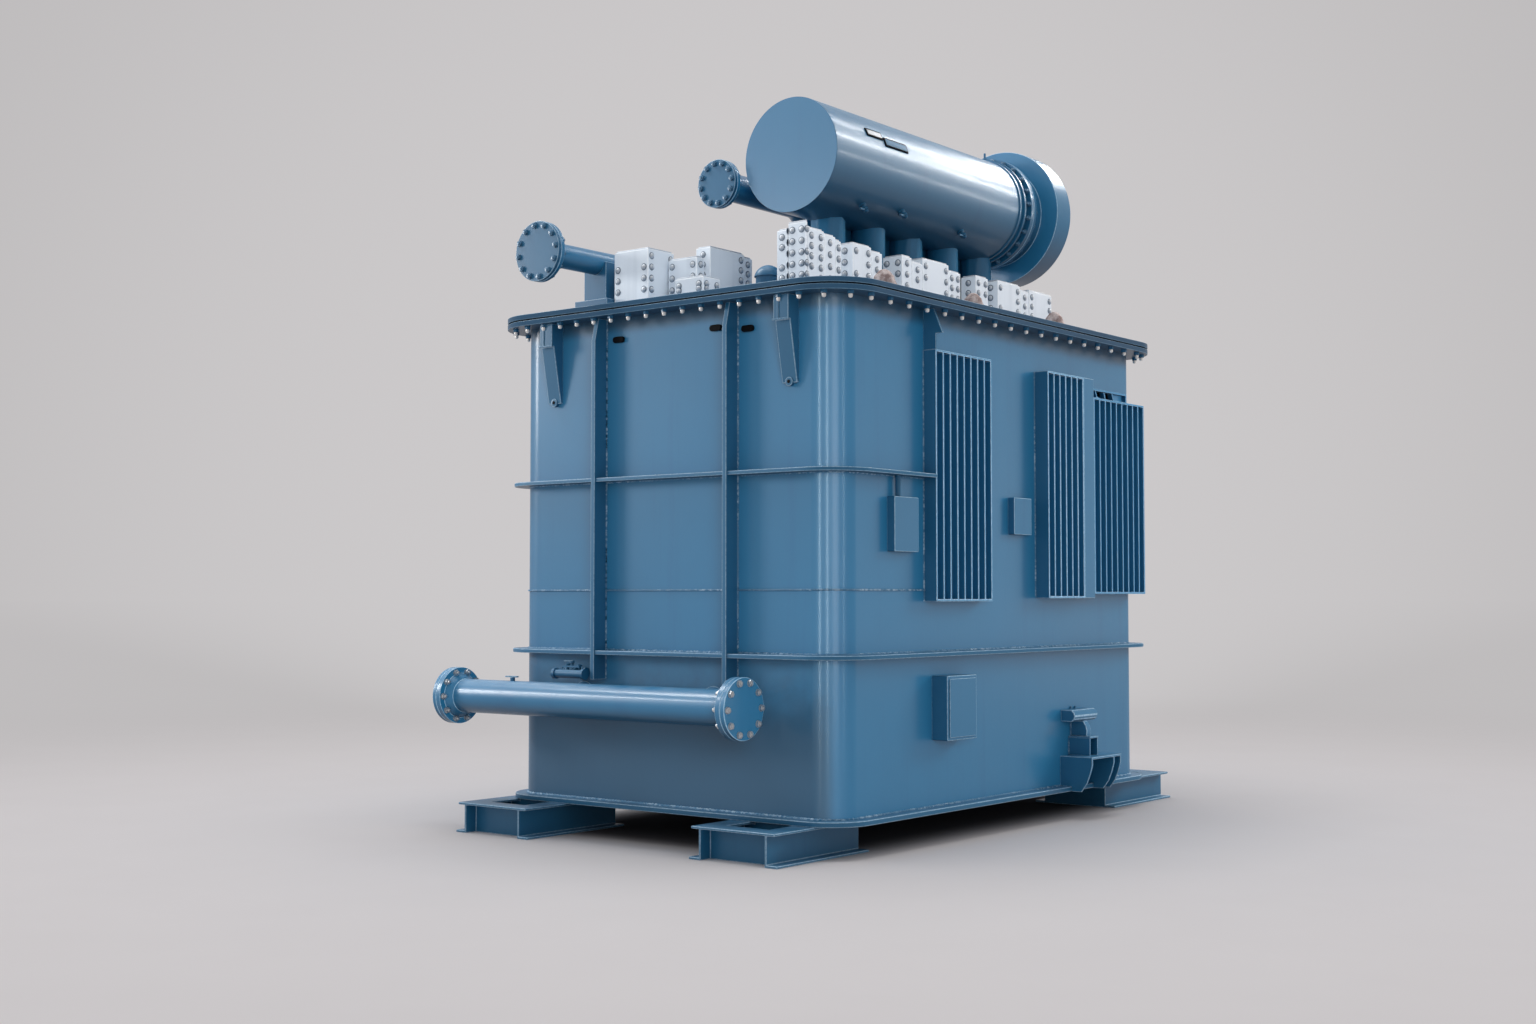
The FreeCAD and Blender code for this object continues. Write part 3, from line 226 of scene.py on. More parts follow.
def mesh_of(name, shape):
    """Turns a finished shape into a mesh that can be copied."""
    made = bpy.data.meshes.new(name)
    shape.to_mesh(made)
    shape.free()
    return made


def fit(name, shape, finish, slot, *nodes):
    """Sets a finished shape on the transformer in place of its CAD nodes."""
    for face in shape.faces:
        face.smooth = True
    mesh = mesh_of(name, shape)
    mesh.set_sharp_from_angle(angle=math.radians(50))
    mesh.materials.append(finish)
    piece = bpy.data.objects.new(name, mesh)
    bpy.context.scene.collection.objects.link(piece)
    flat = piece.modifiers.new("flat_faces", "WEIGHTED_NORMAL")
    flat.keep_sharp = True
    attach(piece, "root")
    if nodes:
        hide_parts(*nodes)
    return piece


def blue(name, shape, *nodes):
    """A finished shape in plain blue enamel."""
    return fit(name, shape, blue_enamel, "blue_enamel", *nodes)


def blue_steel(name, node, width=0.003, finish=blue_enamel):
    """One CAD node as a piece of welded steel in a blue finish."""
    return fit(name, steel_of(node, width), finish, "blue_enamel", node)


skids = []
for corner in ("front_right", "front_left", "rear_right", "rear_left"):
    skids.append(blue_steel("skid_frame_" + corner, "skid_" + corner, 0.004))

# ------------------------------------------------------------- base plate
# A thick rolled plate closes the tank from below and rests on the skids.
# The tank wall stands on it in a long fillet weld, painted over with the rest.


def weld_paint():
    """Enamel over a weld, thin and bright where the beads stand up."""
    material, paint, at = new_finish("weld_enamel")
    fleck = between(paint, grain(paint, at, 46.0, 4.0, 0.7), 0.44, 0.60)
    cloud = grain(paint, at, 3.0)
    thin = blended(paint, fleck, (0.040, 0.170, 0.320, 1.0), (0.34, 0.50, 0.64, 1.0))
    film = blended(paint, between(paint, cloud, 0.40, 0.66), thin, (0.075, 0.21, 0.36, 1.0))
    bump = paint.node("Bump", {"Strength": 0.4, "Distance": 0.002, "Height": fleck})
    sockets = {"Base Color": film, "Roughness": 0.50 - 0.20 * fleck, "Normal": bump}
    return finished(material, paint, sockets)


weld_enamel = weld_paint()
welds = bmesh.new()
weld_dice = random.Random(7)


def facing(at, way, turn=0.0):
    """A place at a point, with its upward direction along a way."""
    swing = Vector(way).to_track_quat("Z", "Y").to_matrix().to_4x4()
    return Matrix.Translation(at) @ swing @ Matrix.Rotation(turn, 4, "Z")


def verts_in(items):
    """The points among what an operator made."""
    return [item for item in items if isinstance(item, bmesh.types.BMVert)]


def edges_in(items):
    """The edges among what an operator made."""
    return [item for item in items if isinstance(item, bmesh.types.BMEdge)]


RIPPLE = 0.010


def lay_bead(path, size):
    """Runs a rippled weld bead along a path of points."""
    bead = bmesh.new()
    stops = [Vector(path[0])]
    for start, end in zip(path, path[1:]):
        start, end = Vector(start), Vector(end)
        count = max(1, round((end - start).length / RIPPLE))
        stops += [start.lerp(end, number / count) for number in range(1, count + 1)]
    ways = [(b - a).normalized() for a, b in zip(stops, stops[1:])]
    ways.append(ways[-1])
    ring = bmesh.ops.create_circle(bead, cap_ends=True, segments=6, radius=size)["verts"]
    turned_to = facing(stops[0], ways[0])
    bmesh.ops.transform(bead, matrix=turned_to, verts=ring)
    first = list(bead.edges)
    for number in range(1, len(stops)):
        swell = (1.12 if number % 2 else 0.86) * weld_dice.uniform(0.92, 1.08)
        made = bmesh.ops.extrude_edge_only(bead, edges=first)["geom"]
        ring, first = verts_in(made), edges_in(made)
        placed = facing(stops[number], ways[number]) @ Matrix.Scale(swell, 4)
        bmesh.ops.transform(bead, matrix=placed @ turned_to.inverted(), verts=ring)
        turned_to = placed
    bmesh.ops.contextual_create(bead, geom=first)
    bmesh.ops.recalc_face_normals(bead, faces=bead.faces)
    add_to(welds, bead)


def add_to(shape, part):
    """Moves a part into a larger shape."""
    carried = mesh_of("carried", part)
    shape.from_mesh(carried)
    bpy.data.meshes.remove(carried)


tank_low, tank_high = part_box("tank_body")
TANK_CORNER = 0.150


def swung(angle, reach):
    """A step out from a middle, at an angle in radians."""
    return reach * math.cos(angle), reach * math.sin(angle)


def round_the_tank(height, start=0, end=4):
    """Points round the tank wall at a height.

    Corners are counted from the front right one, anticlockwise from above."""
    reach_x = tank_high.x - TANK_CORNER
    reach_y = tank_high.y - TANK_CORNER
    corners = (
        (reach_x, -reach_y, -90),
        (reach_x, reach_y, 0),
        (-reach_x, reach_y, 90),
        (-reach_x, -reach_y, 180),
    )
    path = []
    for number in range(start, end):
        x, y, first = corners[number % 4]
        for step in range(9):
            angle = math.radians(first + step * 90 / 8)
            x_out, y_out = swung(angle, TANK_CORNER)
            path.append(Vector((x + x_out, y + y_out, height)))
    return path


floor_plate = blue_steel("base_floor_plate", "base_plate", 0.004)
base_run = round_the_tank(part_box("base_plate")[1].z)
lay_bead(base_run + base_run[:1], 0.008)

# -------------------------------------------------------------- tank body
# The tank is folded from heavy plate with big round corners and welded shut.
# It holds the core and windings in oil, and is sprayed in satin blue enamel.

# The walls take painted shade at their foot and painted shadow under the rim.
wall_enamel = enamel("wall_enamel_film", BLUES, coat=0.40, wall_shade=0.62)
tank_wall = blue_steel("tank_wall", "tank_body", 0.004, wall_enamel)

# ----------------------------------------------------------- rim and cover
# A thick rim is welded round the mouth of the tank.  The cover lies on it over
# a black rubber gasket and is held down by zinc bolts with their nuts below.

# The rim and lid wear a darker copy of the blue enamel, painted shade over both.
SHADED_RIM_BLUES = (
    (0.006, 0.078, 0.172, 1.0),
    (0.012, 0.108, 0.225, 1.0),
    (0.006, 0.055, 0.125, 1.0),
    (0.075, 0.180, 0.290, 1.0),
    (0.190, 0.370, 0.530, 1.0),
)
shaded_rim_enamel = enamel("rim_enamel_painted_shade", SHADED_RIM_BLUES)
rim_plate = blue_steel("rim_plate", "rim_flange", 0.0025, shaded_rim_enamel)
cover_lid = blue_steel("cover_lid", "cover_plate", 0.0025, shaded_rim_enamel)


def rubber():
    material, paint, at = new_finish("black_rubber_sheet")
    bloom = grain(paint, at, 34.0, 4.0)
    tone = blended(paint, bloom, (0.0015, 0.0018, 0.0025, 1.0), (0.0050, 0.0060, 0.0080, 1.0))
    bump = paint.node("Bump", {"Strength": 0.3, "Distance": 0.001, "Height": bloom})
    sockets = {"Base Color": tone, "Roughness": 0.55 + 0.3 * bloom, "Normal": bump}
    sockets["Specular IOR Level"] = 0.12
    return finished(material, paint, sockets)


black_rubber = rubber()
fit("lid_gasket", steel_of("cover_gasket", 0.001), black_rubber, "black_rubber", "cover_gasket")


def clouded(name, metallic, scale, deep, pale, rough, swing, detail=3.0):
    """Plated or thinly painted steel that drifts between two tones."""
    material, paint, at = new_finish(name)
    cloud = grain(paint, at, scale, detail)
    tone = blended(paint, cloud, deep, pale)
    sockets = {"Base Color": tone, "Metallic": metallic, "Roughness": rough + swing * cloud}
    return finished(material, paint, sockets)


zinc_plate = clouded(
    "zinc_plate", 0.85, 90.0, (0.42, 0.45, 0.48, 1.0), (0.72, 0.74, 0.75, 1.0), 0.26, 0.22
)


def hex_nut(across, height, stud, stud_height):
    """A washer, a six-sided nut and the rounded end of its stud, upward."""
    nut = bmesh.new()
    washer = height * 0.16
    flats = across * 0.577
    tip = height + 0.72 * stud_height
    layers = (
        (12, across * 0.62, across * 0.62, 0.0, washer),
        (6, flats, flats, washer, washer + height * 0.72),
        (6, flats, across * 0.44, washer + height * 0.72, washer + height * 0.84),
        (8, stud, stud, height, tip),
        (8, stud, stud * 0.55, tip, height + stud_height),
    )
    for sides, wide, narrow, low, high in layers:
        bmesh.ops.create_cone(
            nut,
            cap_ends=True,
            segments=sides,
            radius1=wide,
            radius2=narrow,
            depth=high - low,
            matrix=Matrix.Translation((0, 0, (low + high) / 2)),
        )
    return mesh_of("hex_nut", nut)


def set_out(shape, master, places):
    """Adds a copy of a small master part at each place."""
    for place in places:
        copy = master.copy()
        copy.transform(place)
        shape.from_mesh(copy)
        bpy.data.meshes.remove(copy)


RIGHTWARD, REARWARD, UPWARD = (1, 0, 0), (0, 1, 0), (0, 0, 1)


def turned(shape, outline, foot, along, steps=72, width=0.0):
    """Lathes an outline of (radius, distance) pairs about a line."""
    part = bmesh.new()
    points = [part.verts.new((radius, 0.0, way)) for radius, way in outline]
    edges = [part.edges.new(pair) for pair in zip(points, points[1:])]
    round_once = dict(cent=(0, 0, 0), axis=UPWARD, angle=math.tau, steps=steps, use_merge=True)
    bmesh.ops.spin(part, geom=points + edges, **round_once)
    bmesh.ops.remove_doubles(part, verts=part.verts, dist=1e-6)
    bmesh.ops.recalc_face_normals(part, faces=part.faces)
    if width:
        ease(part, width)
    bmesh.ops.transform(part, matrix=facing(foot, along), verts=part.verts)
    add_to(shape, part)


def disc(radius, start, end):
    """The outline of a closed disc or drum."""
    return [(0.0, start), (radius, start), (radius, end), (0.0, end)]


def small_round(name, outline, steps):
    """A small round part turned from its outline, standing upward."""
    part = bmesh.new()
    turned(part, outline, (0, 0, 0), UPWARD, steps)
    return mesh_of(name, part)


rim_low, rim_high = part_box("rim_flange")
lid_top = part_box("cover_plate")[1].z
RIM_BOLT_INSET = 0.036
FRONT_BOLTS = 15
SIDE_BOLTS = 17
RIM_CORNER = 0.270


def rim_bolt_points():
    """Every bolt centre round the rim."""
    x = rim_high.x - RIM_BOLT_INSET
    y = rim_high.y - RIM_BOLT_INSET
    straight_x = rim_high.x - RIM_CORNER
    straight_y = rim_high.y - RIM_CORNER
    points = []
    for side in (-1, 1):
        for number in range(FRONT_BOLTS + 1):
            points.append((-straight_x + 2 * straight_x * number / FRONT_BOLTS, side * y))
        for number in range(SIDE_BOLTS + 1):
            points.append((side * x, -straight_y + 2 * straight_y * number / SIDE_BOLTS))
    swing = RIM_CORNER - RIM_BOLT_INSET
    for side_x in (-1, 1):
        for side_y in (-1, 1):
            for angle in (30, 60):
                x_out, y_out = swung(math.radians(angle), swing)
                points.append((side_x * (straight_x + x_out), side_y * (straight_y + y_out)))
    return points


dice = random.Random(11)
rim_nuts, stud_ends = bmesh.new(), bmesh.new()
rim_nut = hex_nut(0.026, 0.016, 0.009, 0.001)


def stud_end(radius, height):
    """The rounded end of a stud, upward."""
    shoulder = [(radius, height * 0.55), (radius * 0.78, height * 0.85)]
    return small_round("stud_end", [(0.0, 0.0), (radius, 0.0), *shoulder, (0.0, height)], 10)


hanging_end = stud_end(0.0105, 0.019)
lid_end = stud_end(0.0100, 0.005)
for x, y in rim_bolt_points():
    turn = dice.uniform(0, 1)
    set_out(rim_nuts, rim_nut, [facing((x, y, rim_low.z), (0, 0, -1), turn)])
    set_out(stud_ends, hanging_end, [facing((x, y, rim_low.z - 0.015), (0, 0, -1), turn)])
    set_out(stud_ends, lid_end, [facing((x, y, lid_top), UPWARD, turn)])
blue("rim_nuts", rim_nuts)
bare_zinc = clouded(
    "bright_zinc", 0.3, 120.0, (0.80, 0.79, 0.76, 1.0), (0.95, 0.94, 0.92, 1.0), 0.22, 0.2, 2.0
)
fit("rim_stud_ends", stud_ends, bare_zinc, "blue_enamel")

# --------------------------------------------------------- posts and bands
# Flat bars on edge stiffen the front and rear walls, and two bands of plate
# run round the tank.  All are flame cut, welded on both sides and painted.

blue_steel("front_stiffener_posts", "front_posts")
blue_steel("rear_stiffener_posts", "rear_posts")
for band in ("lower_band", "middle_band_front", "middle_band_rear"):
    blue_steel(band + "_plate", band)
blue_steel("seam_flat", "seam_strip", 0.0015, weld_enamel)

POST_MIDDLES = (-0.405, 0.435)
POST_HALF = 0.0125
post_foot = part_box("front_posts")[0].z
wall_front, wall_rear = tank_low.y, tank_high.y
for middle in POST_MIDDLES:
    for side in (-1, 1):
        for wall in (wall_front, wall_rear):
            x = middle + side * POST_HALF
            lay_bead([(x, wall, post_foot), (x, wall, rim_low.z)], 0.006)
lower_run = round_the_tank(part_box("lower_band")[1].z)
lay_bead(lower_run + lower_run[:1], 0.0075)
middle_low, middle_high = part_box("middle_band_front")
front_run = round_the_tank(middle_high.z, 3, 5)
for height, size in ((middle_high.z, 0.007), (middle_low.z, 0.005)):
    run = [Vector((p.x, p.y, height)) for p in front_run]
    ends = [Vector((side * tank_high.x, middle_high.y, height)) for side in (-1, 1)]
    lay_bead([ends[0]] + run + [ends[1]], size)

# ------------------------------------------------------------ lifting lugs
# Four lifting lugs are welded high on the front and rear walls.  Each is a
# tapered gusset under a block that takes the sling, with a rounded foot.

blue_steel("front_lifting_lugs", "lifting_lugs_front", 0.004)
blue_steel("rear_lifting_lugs", "lifting_lugs_rear", 0.004)

LUG_MIDDLES = (-0.740, 0.765)
LUG_FOOT = 2.151
LUG_FACE = 0.084
LUG_LEDGE = 2.433


def plate(shape, low, high, width=0.002):
    """A plate between two corners, with eased edges."""
    part = bmesh.new()
    bmesh.ops.create_cube(part, size=1.0)
    low, high = Vector(low), Vector(high)
    bmesh.ops.scale(part, vec=high - low, verts=part.verts)
    bmesh.ops.translate(part, vec=(low + high) / 2, verts=part.verts)
    ease(part, width)
    add_to(shape, part)


lug_trim, lug_hollows = bmesh.new(), bmesh.new()
for middle in LUG_MIDDLES:
    for way, wall in ((-1, wall_front), (1, wall_rear)):
        face = wall + way * LUG_FACE
        strip, ledge = sorted((face, face + way * 0.004)), sorted((face, face + way * 0.006))
        plate(
            lug_trim,
            (middle - 0.020, strip[0], LUG_LEDGE + 0.005),
            (middle - 0.010, strip[1], rim_low.z),
            0.0015,
        )
        plate(
            lug_trim,
            (middle - 0.047, ledge[0], LUG_LEDGE),
            (middle + 0.047, ledge[1], LUG_LEDGE + 0.008),
        )
        foot = (middle, wall, LUG_FOOT + 0.006)
        turned(lug_trim, disc(0.021, 0.0, 0.024), foot, (0, way, 0), 28, 0.003)
        # A black disc in each foot paints the shade of its hollow.
        turned(lug_hollows, disc(0.0085, 0.0, 0.0255), foot, (0, way, 0), 20)
        for x in (middle - 0.031, middle + 0.031):
            lay_bead([(x, wall, LUG_FOOT + 0.02), (x, wall, rim_low.z)], 0.005)
blue("lug_trim_strips", lug_trim)
fit("lug_foot_hollows_painted_shade", lug_hollows, black_rubber, "black_rubber")

# ------------------------------------------------------------- wall plugs
# Three oval rubber plugs close old wiring holes high in the front wall.

fit("oval_wall_plugs", steel_of("wall_plugs"), black_rubber, "black_rubber", "wall_plugs")

# --------------------------------------------------------- cooling panels
# Finned panels on both side walls shed the heat of the oil.  Thin steel fins
# stand on a back plate between side plates, all welded and sprayed deep blue.

side_pieces = []
for side in ("right", "left"):
    for place in ("front", "middle", "rear"):
        node = "cooling_panel_%s_%s" % (side, place)
        name = "finned_%s_%s_panel" % (side, place)
        side_pieces.append(blue_steel(name, node))
panel_bars = blue_steel("panel_divider_bars", "panel_dividers")
grilles = blue_steel("louvre_grilles", "louvre_frames", 0.0015)
fins = [*side_pieces, grilles]
side_pieces += [panel_bars, grilles]
blue_steel("wall_side_ears", "side_ears", 0.002)
for side in (-1, 1):
    for node in ("cooling_panel_right_front", "cooling_panel_right_middle"):
        low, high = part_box(node)
        x = side * tank_high.x
        lay_bead([(x, low.y, low.z), (x, low.y, high.z)], 0.0055)

# -------------------------------------------------------------- wall boxes
# Sheet steel boxes on the right-hand wall hold gauges and wiring.  They are
# bent up from thin sheet, and their lids lie in a narrow dark reveal.

for node in ("upper_box", "middle_box", "lower_box"):
    side_pieces.append(blue_steel(node + "_sheet", node))
side_pieces.append(blue_steel("lower_box_lid_sheet", "lower_box_lid", 0.002))
blue_steel("box_conduit", "conduit", 0.001)

# ------------------------------------------------------- jacking brackets
# A bracket low on each side wall takes a jack.  It is a stack of welded plate:
# a shelf, a hollow block, a curved neck and a round-nosed bar on top.


def prism(shape, outline, start, end, width):
    """A bar along Y whose outline is given in X and Z, with eased edges."""
    part = bmesh.new()
    face = part.faces.new([part.verts.new((x, start, z)) for x, z in outline])
    raised = bmesh.ops.extrude_face_region(part, geom=[face])["geom"]
    bmesh.ops.translate(part, vec=(0, end - start, 0), verts=verts_in(raised))
    bmesh.ops.holes_fill(part, edges=[edge for edge in part.edges if edge.is_boundary])
    bmesh.ops.recalc_face_normals(part, faces=part.faces)
    ease(part, width)
    add_to(shape, part)


SHELF_TOP, BLOCK_TOP, NECK_TOP, BAR_TOP = 0.334, 0.434, 0.514, 0.576
BLOCK_MIDDLE, BLOCK_DEEP, BLOCK_HALF, NECK_HALF = 0.134, 0.130, 0.046, 0.023
SHEET = 0.009
for side, way in (("right", 1), ("left", -1)):
    node = "jacking_bracket_" + side
    near_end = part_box(node)[0].y
    middle = near_end + BLOCK_MIDDLE
    bracket = steel_of(node, width=0.0)
    cut = bmesh.ops.bisect_plane(
        bracket,
        geom=bracket.verts[:] + bracket.edges[:] + bracket.faces[:],
        plane_co=(0, 0, SHELF_TOP - 0.0004),
        plane_no=UPWARD,
        clear_outer=True,
    )
    bmesh.ops.edgeloop_fill(bracket, edges=edges_in(cut["geom_cut"]))
    ease(bracket, 0.003)

    def reach(*outline):
        """The outline set against the tank wall on this side."""
        return [(way * (tank_high.x + x), z) for x, z in outline]

    def slab(deep, low, high):
        """The outline of a plain block on the wall."""
        return reach((0, low), (deep, low), (deep, high), (0, high))

    for start in (middle - BLOCK_HALF, middle + BLOCK_HALF - SHEET):
        cheek = slab(BLOCK_DEEP, SHELF_TOP, BLOCK_TOP)
        prism(bracket, cheek, start, start + SHEET, 0.002)
    lid = slab(BLOCK_DEEP + 0.002, BLOCK_TOP - SHEET, BLOCK_TOP)
    prism(bracket, lid, middle - BLOCK_HALF - 0.002, middle + BLOCK_HALF + 0.002, 0.002)
    neck = [(0, BLOCK_TOP), (0.098, BLOCK_TOP), (0.101, BLOCK_TOP + 0.030)]
    neck += [(0.094, BLOCK_TOP + 0.056), (0.078, NECK_TOP), (0, NECK_TOP)]
    prism(bracket, reach(*neck), middle - NECK_HALF, middle + NECK_HALF, 0.004)
    bar = [(0, NECK_TOP), (0.066, NECK_TOP), (0.080, NECK_TOP + 0.012), (0.086, NECK_TOP + 0.030)]
    bar += [(0.080, BAR_TOP - 0.014), (0.066, BAR_TOP), (0, BAR_TOP)]
    prism(bracket, reach(*bar), near_end + 0.008, near_end + 0.260, 0.005)
    side_pieces.append(blue("jack_bracket_" + side, bracket, node))
bracket_beads = ((SHELF_TOP, BLOCK_HALF), (BLOCK_TOP, NECK_HALF), (NECK_TOP, NECK_HALF))
for way in (1, -1):
    x = way * (tank_high.x + 0.004)
    for level, half in bracket_beads:
        for y in (middle - half, middle + half):
            lay_bead([(x, y, level), (x, y, level + 0.075)], 0.005)

# ------------------------------------------------------------ drain header
# A header pipe runs across the front on two branches, for draining the oil.
# Both ends carry a welded flange closed by a bolted blind, painted blue.


def bolt_circle(centre, way, circle, count, offset=0.0):
    """Places round a flange, facing along its axis."""
    swing = Vector(way).to_track_quat("Z", "Y").to_matrix()
    places = []
    for number in range(count):
        angle = math.tau * number / count + offset
        out = swing @ Vector((*swung(angle, circle), 0))
        places.append(facing(Vector(centre) + out, way, angle))
    return places


header_low, header_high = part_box("header_pipe")
HEADER_Y, HEADER_Z, HEADER_RADIUS = -1.700, 0.675, 0.084
HEADER_FLANGE, HEADER_CIRCLE, HEADER_BOLTS = 0.028, 0.120, 10
flange_radius = (header_high.z - header_low.z) / 2
length = header_high.x - header_low.x
welding_neck = [
    (0.0, 0.0),
    (flange_radius, 0.0),
    (flange_radius, HEADER_FLANGE),
    (0.112, HEADER_FLANGE),
    (0.106, HEADER_FLANGE + 0.014),
    (HEADER_RADIUS + 0.006, HEADER_FLANGE + 0.030),
    (HEADER_RADIUS, HEADER_FLANGE + 0.034),
]
outline = welding_neck + [(radius, length - way) for radius, way in reversed(welding_neck)]
header = bmesh.new()
turned(header, outline, (header_low.x, HEADER_Y, HEADER_Z), RIGHTWARD, width=0.002)
BRANCHES = (-0.535, 0.305)
BRANCH_RADIUS, BRANCH_PAD = 0.057, 0.008
for x in BRANCHES:
    branch = disc(BRANCH_RADIUS, 0.02, wall_front - HEADER_Y)
    turned(header, branch, (x, HEADER_Y, HEADER_Z), REARWARD, 48)
    pad = disc(BRANCH_RADIUS + 0.024, 0.0, BRANCH_PAD)
    turned(header, pad, (x, wall_front - BRANCH_PAD, HEADER_Z), REARWARD, 48, 0.002)
pipe_enamel = enamel("pipe_enamel_film", BLUES, gloss=0.42, coat=0.45)
header_tube = fit("header_tube", header, pipe_enamel, "blue_enamel", "header_pipe")
BLIND_NODES = ("header_blind_left", "header_blind_right")
BLIND_INSET = 0.0015
blinds = bmesh.new()
for low, high in map(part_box, BLIND_NODES):
    outline = disc(flange_radius, BLIND_INSET, high.x - low.x - BLIND_INSET)
    turned(blinds, outline, (low.x, HEADER_Y, HEADER_Z), RIGHTWARD, 96, 0.003)
header_blinds = blue("header_blind_plates", blinds, *BLIND_NODES)
header_bolts = bmesh.new()
HEADER_STUD = 0.0085
blind_bolt = hex_nut(0.027, 0.014, HEADER_STUD, 0.005)
blind_nut = hex_nut(0.027, 0.016, HEADER_STUD, 0.012)
for end, way in ((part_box("header_blind_right")[1].x, 1), (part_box("header_blind_left")[0].x, -1)):
    centre = Vector((end - way * BLIND_INSET, HEADER_Y, HEADER_Z))
    places = bolt_circle(centre, (way, 0, 0), HEADER_CIRCLE, HEADER_BOLTS)
    if way > 0:
        set_out(header_bolts, blind_bolt, places)
    else:
        # The left blind is tapped, and its studs end flush with its face.
        for place in places:
            end_face = disc(HEADER_STUD, -0.002, 0.0014)
            turned(header_bolts, end_face, place.translation, (way, 0, 0), 16)
    behind = centre - Vector((way * (2 * HEADER_FLANGE - BLIND_INSET), 0, 0))
    places = bolt_circle(behind, (-way, 0, 0), HEADER_CIRCLE, HEADER_BOLTS)
    set_out(header_bolts, blind_nut, places)
fit("header_bolts", header_bolts, zinc_plate, "blue_enamel")
header_trim = bmesh.new()
PLUG_X = -0.790
plug_foot = (PLUG_X, HEADER_Y, HEADER_Z + HEADER_RADIUS - 0.003)
turned(header_trim, disc(0.012, 0.0, 0.020), plug_foot, UPWARD, 24, 0.002)
plate(
    header_trim,
    (PLUG_X - 0.045, HEADER_Y - 0.009, 0.776),
    (PLUG_X + 0.035, HEADER_Y + 0.009, 0.783),
)
valve_low, valve_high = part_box("drain_valve")
valve_y, valve_z = (valve_low.y + valve_high.y) / 2, (valve_low.z + valve_high.z) / 2


def along_valve(share):
    """A distance across, as a share of the valve's length."""
    return valve_low.x + share * (valve_high.x - valve_low.x)


union_nut = hex_nut(0.046, 0.016, 0.018, 0.004)
for share, turn in ((0.16, 0.2), (0.50, 0.0), (0.82, 0.35)):
    place = facing((along_valve(share), valve_y, valve_z), RIGHTWARD, turn)
    set_out(header_trim, union_nut, [place])
LEVER_SHARE = 0.42
for share, tall in ((0.28, 0.030), (LEVER_SHARE, 0.042), (0.66, 0.026)):
    stem = [(0.0, 0.0), (0.007, 0.0), (0.007, tall - 0.012)]
    knob = [(0.013, tall - 0.010), (0.013, tall - 0.002), (0.0, tall)]
    foot = (along_valve(share), valve_y, valve_z + 0.014)
    turned(header_trim, stem + knob, foot, UPWARD, 20)
lever_x = along_valve(LEVER_SHARE)
plate(
    header_trim,
    (lever_x - 0.055, valve_y - 0.006, valve_z + 0.052),
    (lever_x + 0.010, valve_y + 0.006, valve_z + 0.058),
)
for x in BRANCHES:
    steps = [swung(step / 4, 0.060) for step in range(26)]
    lay_bead([(x + out, wall_front - BRANCH_PAD, HEADER_Z + rise) for out, rise in steps], 0.006)
blue("header_air_plug", header_trim)
blue_steel("header_drain_valve", "drain_valve", 0.0)

# ------------------------------------------------------------- conservator
# The conservator is a long steel drum over the cover, for the oil to expand
# into.  It is rolled and welded, with a bolted ring and a wide pot behind.

DRUM_X, DRUM_Z, DRUM_RADIUS = 0.411, 3.346, 0.285
DRUM_BOLTS, DRUM_CIRCLE = 24, 0.297
drum_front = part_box("conservator_front_end")[0].y
ring_low, ring_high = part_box("conservator_shell")
ring_radius = (ring_high.z - ring_low.z) / 2
RING_THICK = 0.026
ring_start = ring_high.y - RING_THICK
drum = bmesh.new()
outline = [(0.0, 0.0), (DRUM_RADIUS - 0.002, 0.0), (DRUM_RADIUS, 0.003)]
for proud, *stops in ((0.007, 0.710, 0.712, 0.724, 0.726), (0.013, 0.750, 0.752, 0.764, 0.767)):
    outline += [
        (DRUM_RADIUS + step, y - drum_front) for step, y in zip((0.0, proud, proud, 0.0), stops)
    ]
outline += [
    (DRUM_RADIUS, ring_start - drum_front),
    (ring_radius, ring_start - drum_front),
    (ring_radius, ring_high.y - drum_front),
    (0.0, ring_high.y - drum_front),
]
turned(drum, outline, (DRUM_X, drum_front, DRUM_Z), REARWARD, 128)
drum_nodes = ("conservator_shell", "conservator_front_end")
conservator_drum = fit("conservator_drum", drum, pipe_enamel, "blue_enamel", *drum_nodes)
gasket_low, gasket_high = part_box("drum_gasket")
gasket = bmesh.new()
outline = disc(ring_radius - 0.004, 0.0, gasket_high.y - gasket_low.y)
turned(gasket, outline, (DRUM_X, gasket_low.y, DRUM_Z), REARWARD, 96)
fit("drum_ring_gasket", gasket, black_rubber, "black_rubber", "drum_gasket")
pot_nodes = ("conservator_neck", "conservator_rear_pot", "conservator_rear_end")
neck_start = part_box("conservator_neck")[0].y
pot_low, pot_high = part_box("conservator_rear_pot")
pot_start, pot_radius = pot_low.y - neck_start, (pot_high.z - pot_low.z) / 2
pot_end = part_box("conservator_rear_end")[1].y - neck_start
pot = bmesh.new()
outline = [
    (0.0, 0.0),
    (ring_radius, 0.0),
    (ring_radius, RING_THICK),
    (DRUM_RADIUS - 0.008, RING_THICK),
    (DRUM_RADIUS - 0.008, pot_start),
    (pot_radius, pot_start),
    (pot_radius, pot_end),
    (0.0, pot_end),
]
turned(pot, outline, (DRUM_X, neck_start, DRUM_Z), REARWARD, 128, 0.003)
conservator_pot = fit("conservator_pot", pot, pipe_enamel, "blue_enamel", *pot_nodes)
ring_bolts = bmesh.new()
ring_nut = hex_nut(0.024, 0.014, 0.008, 0.012)
for y, way in ((ring_start, -1), (neck_start + RING_THICK, 1)):
    centre = (DRUM_X, y, DRUM_Z)
    set_out(ring_bolts, ring_nut, bolt_circle(centre, (0, way, 0), DRUM_CIRCLE, DRUM_BOLTS, 0.06))
BOLT_BLUES = ((0.030, 0.130, 0.250, 1.0), (0.110, 0.250, 0.390, 1.0), *BLUES[2:])
bolt_enamel = enamel("bolt_enamel_film", BOLT_BLUES, gloss=0.34, coat=0.4)
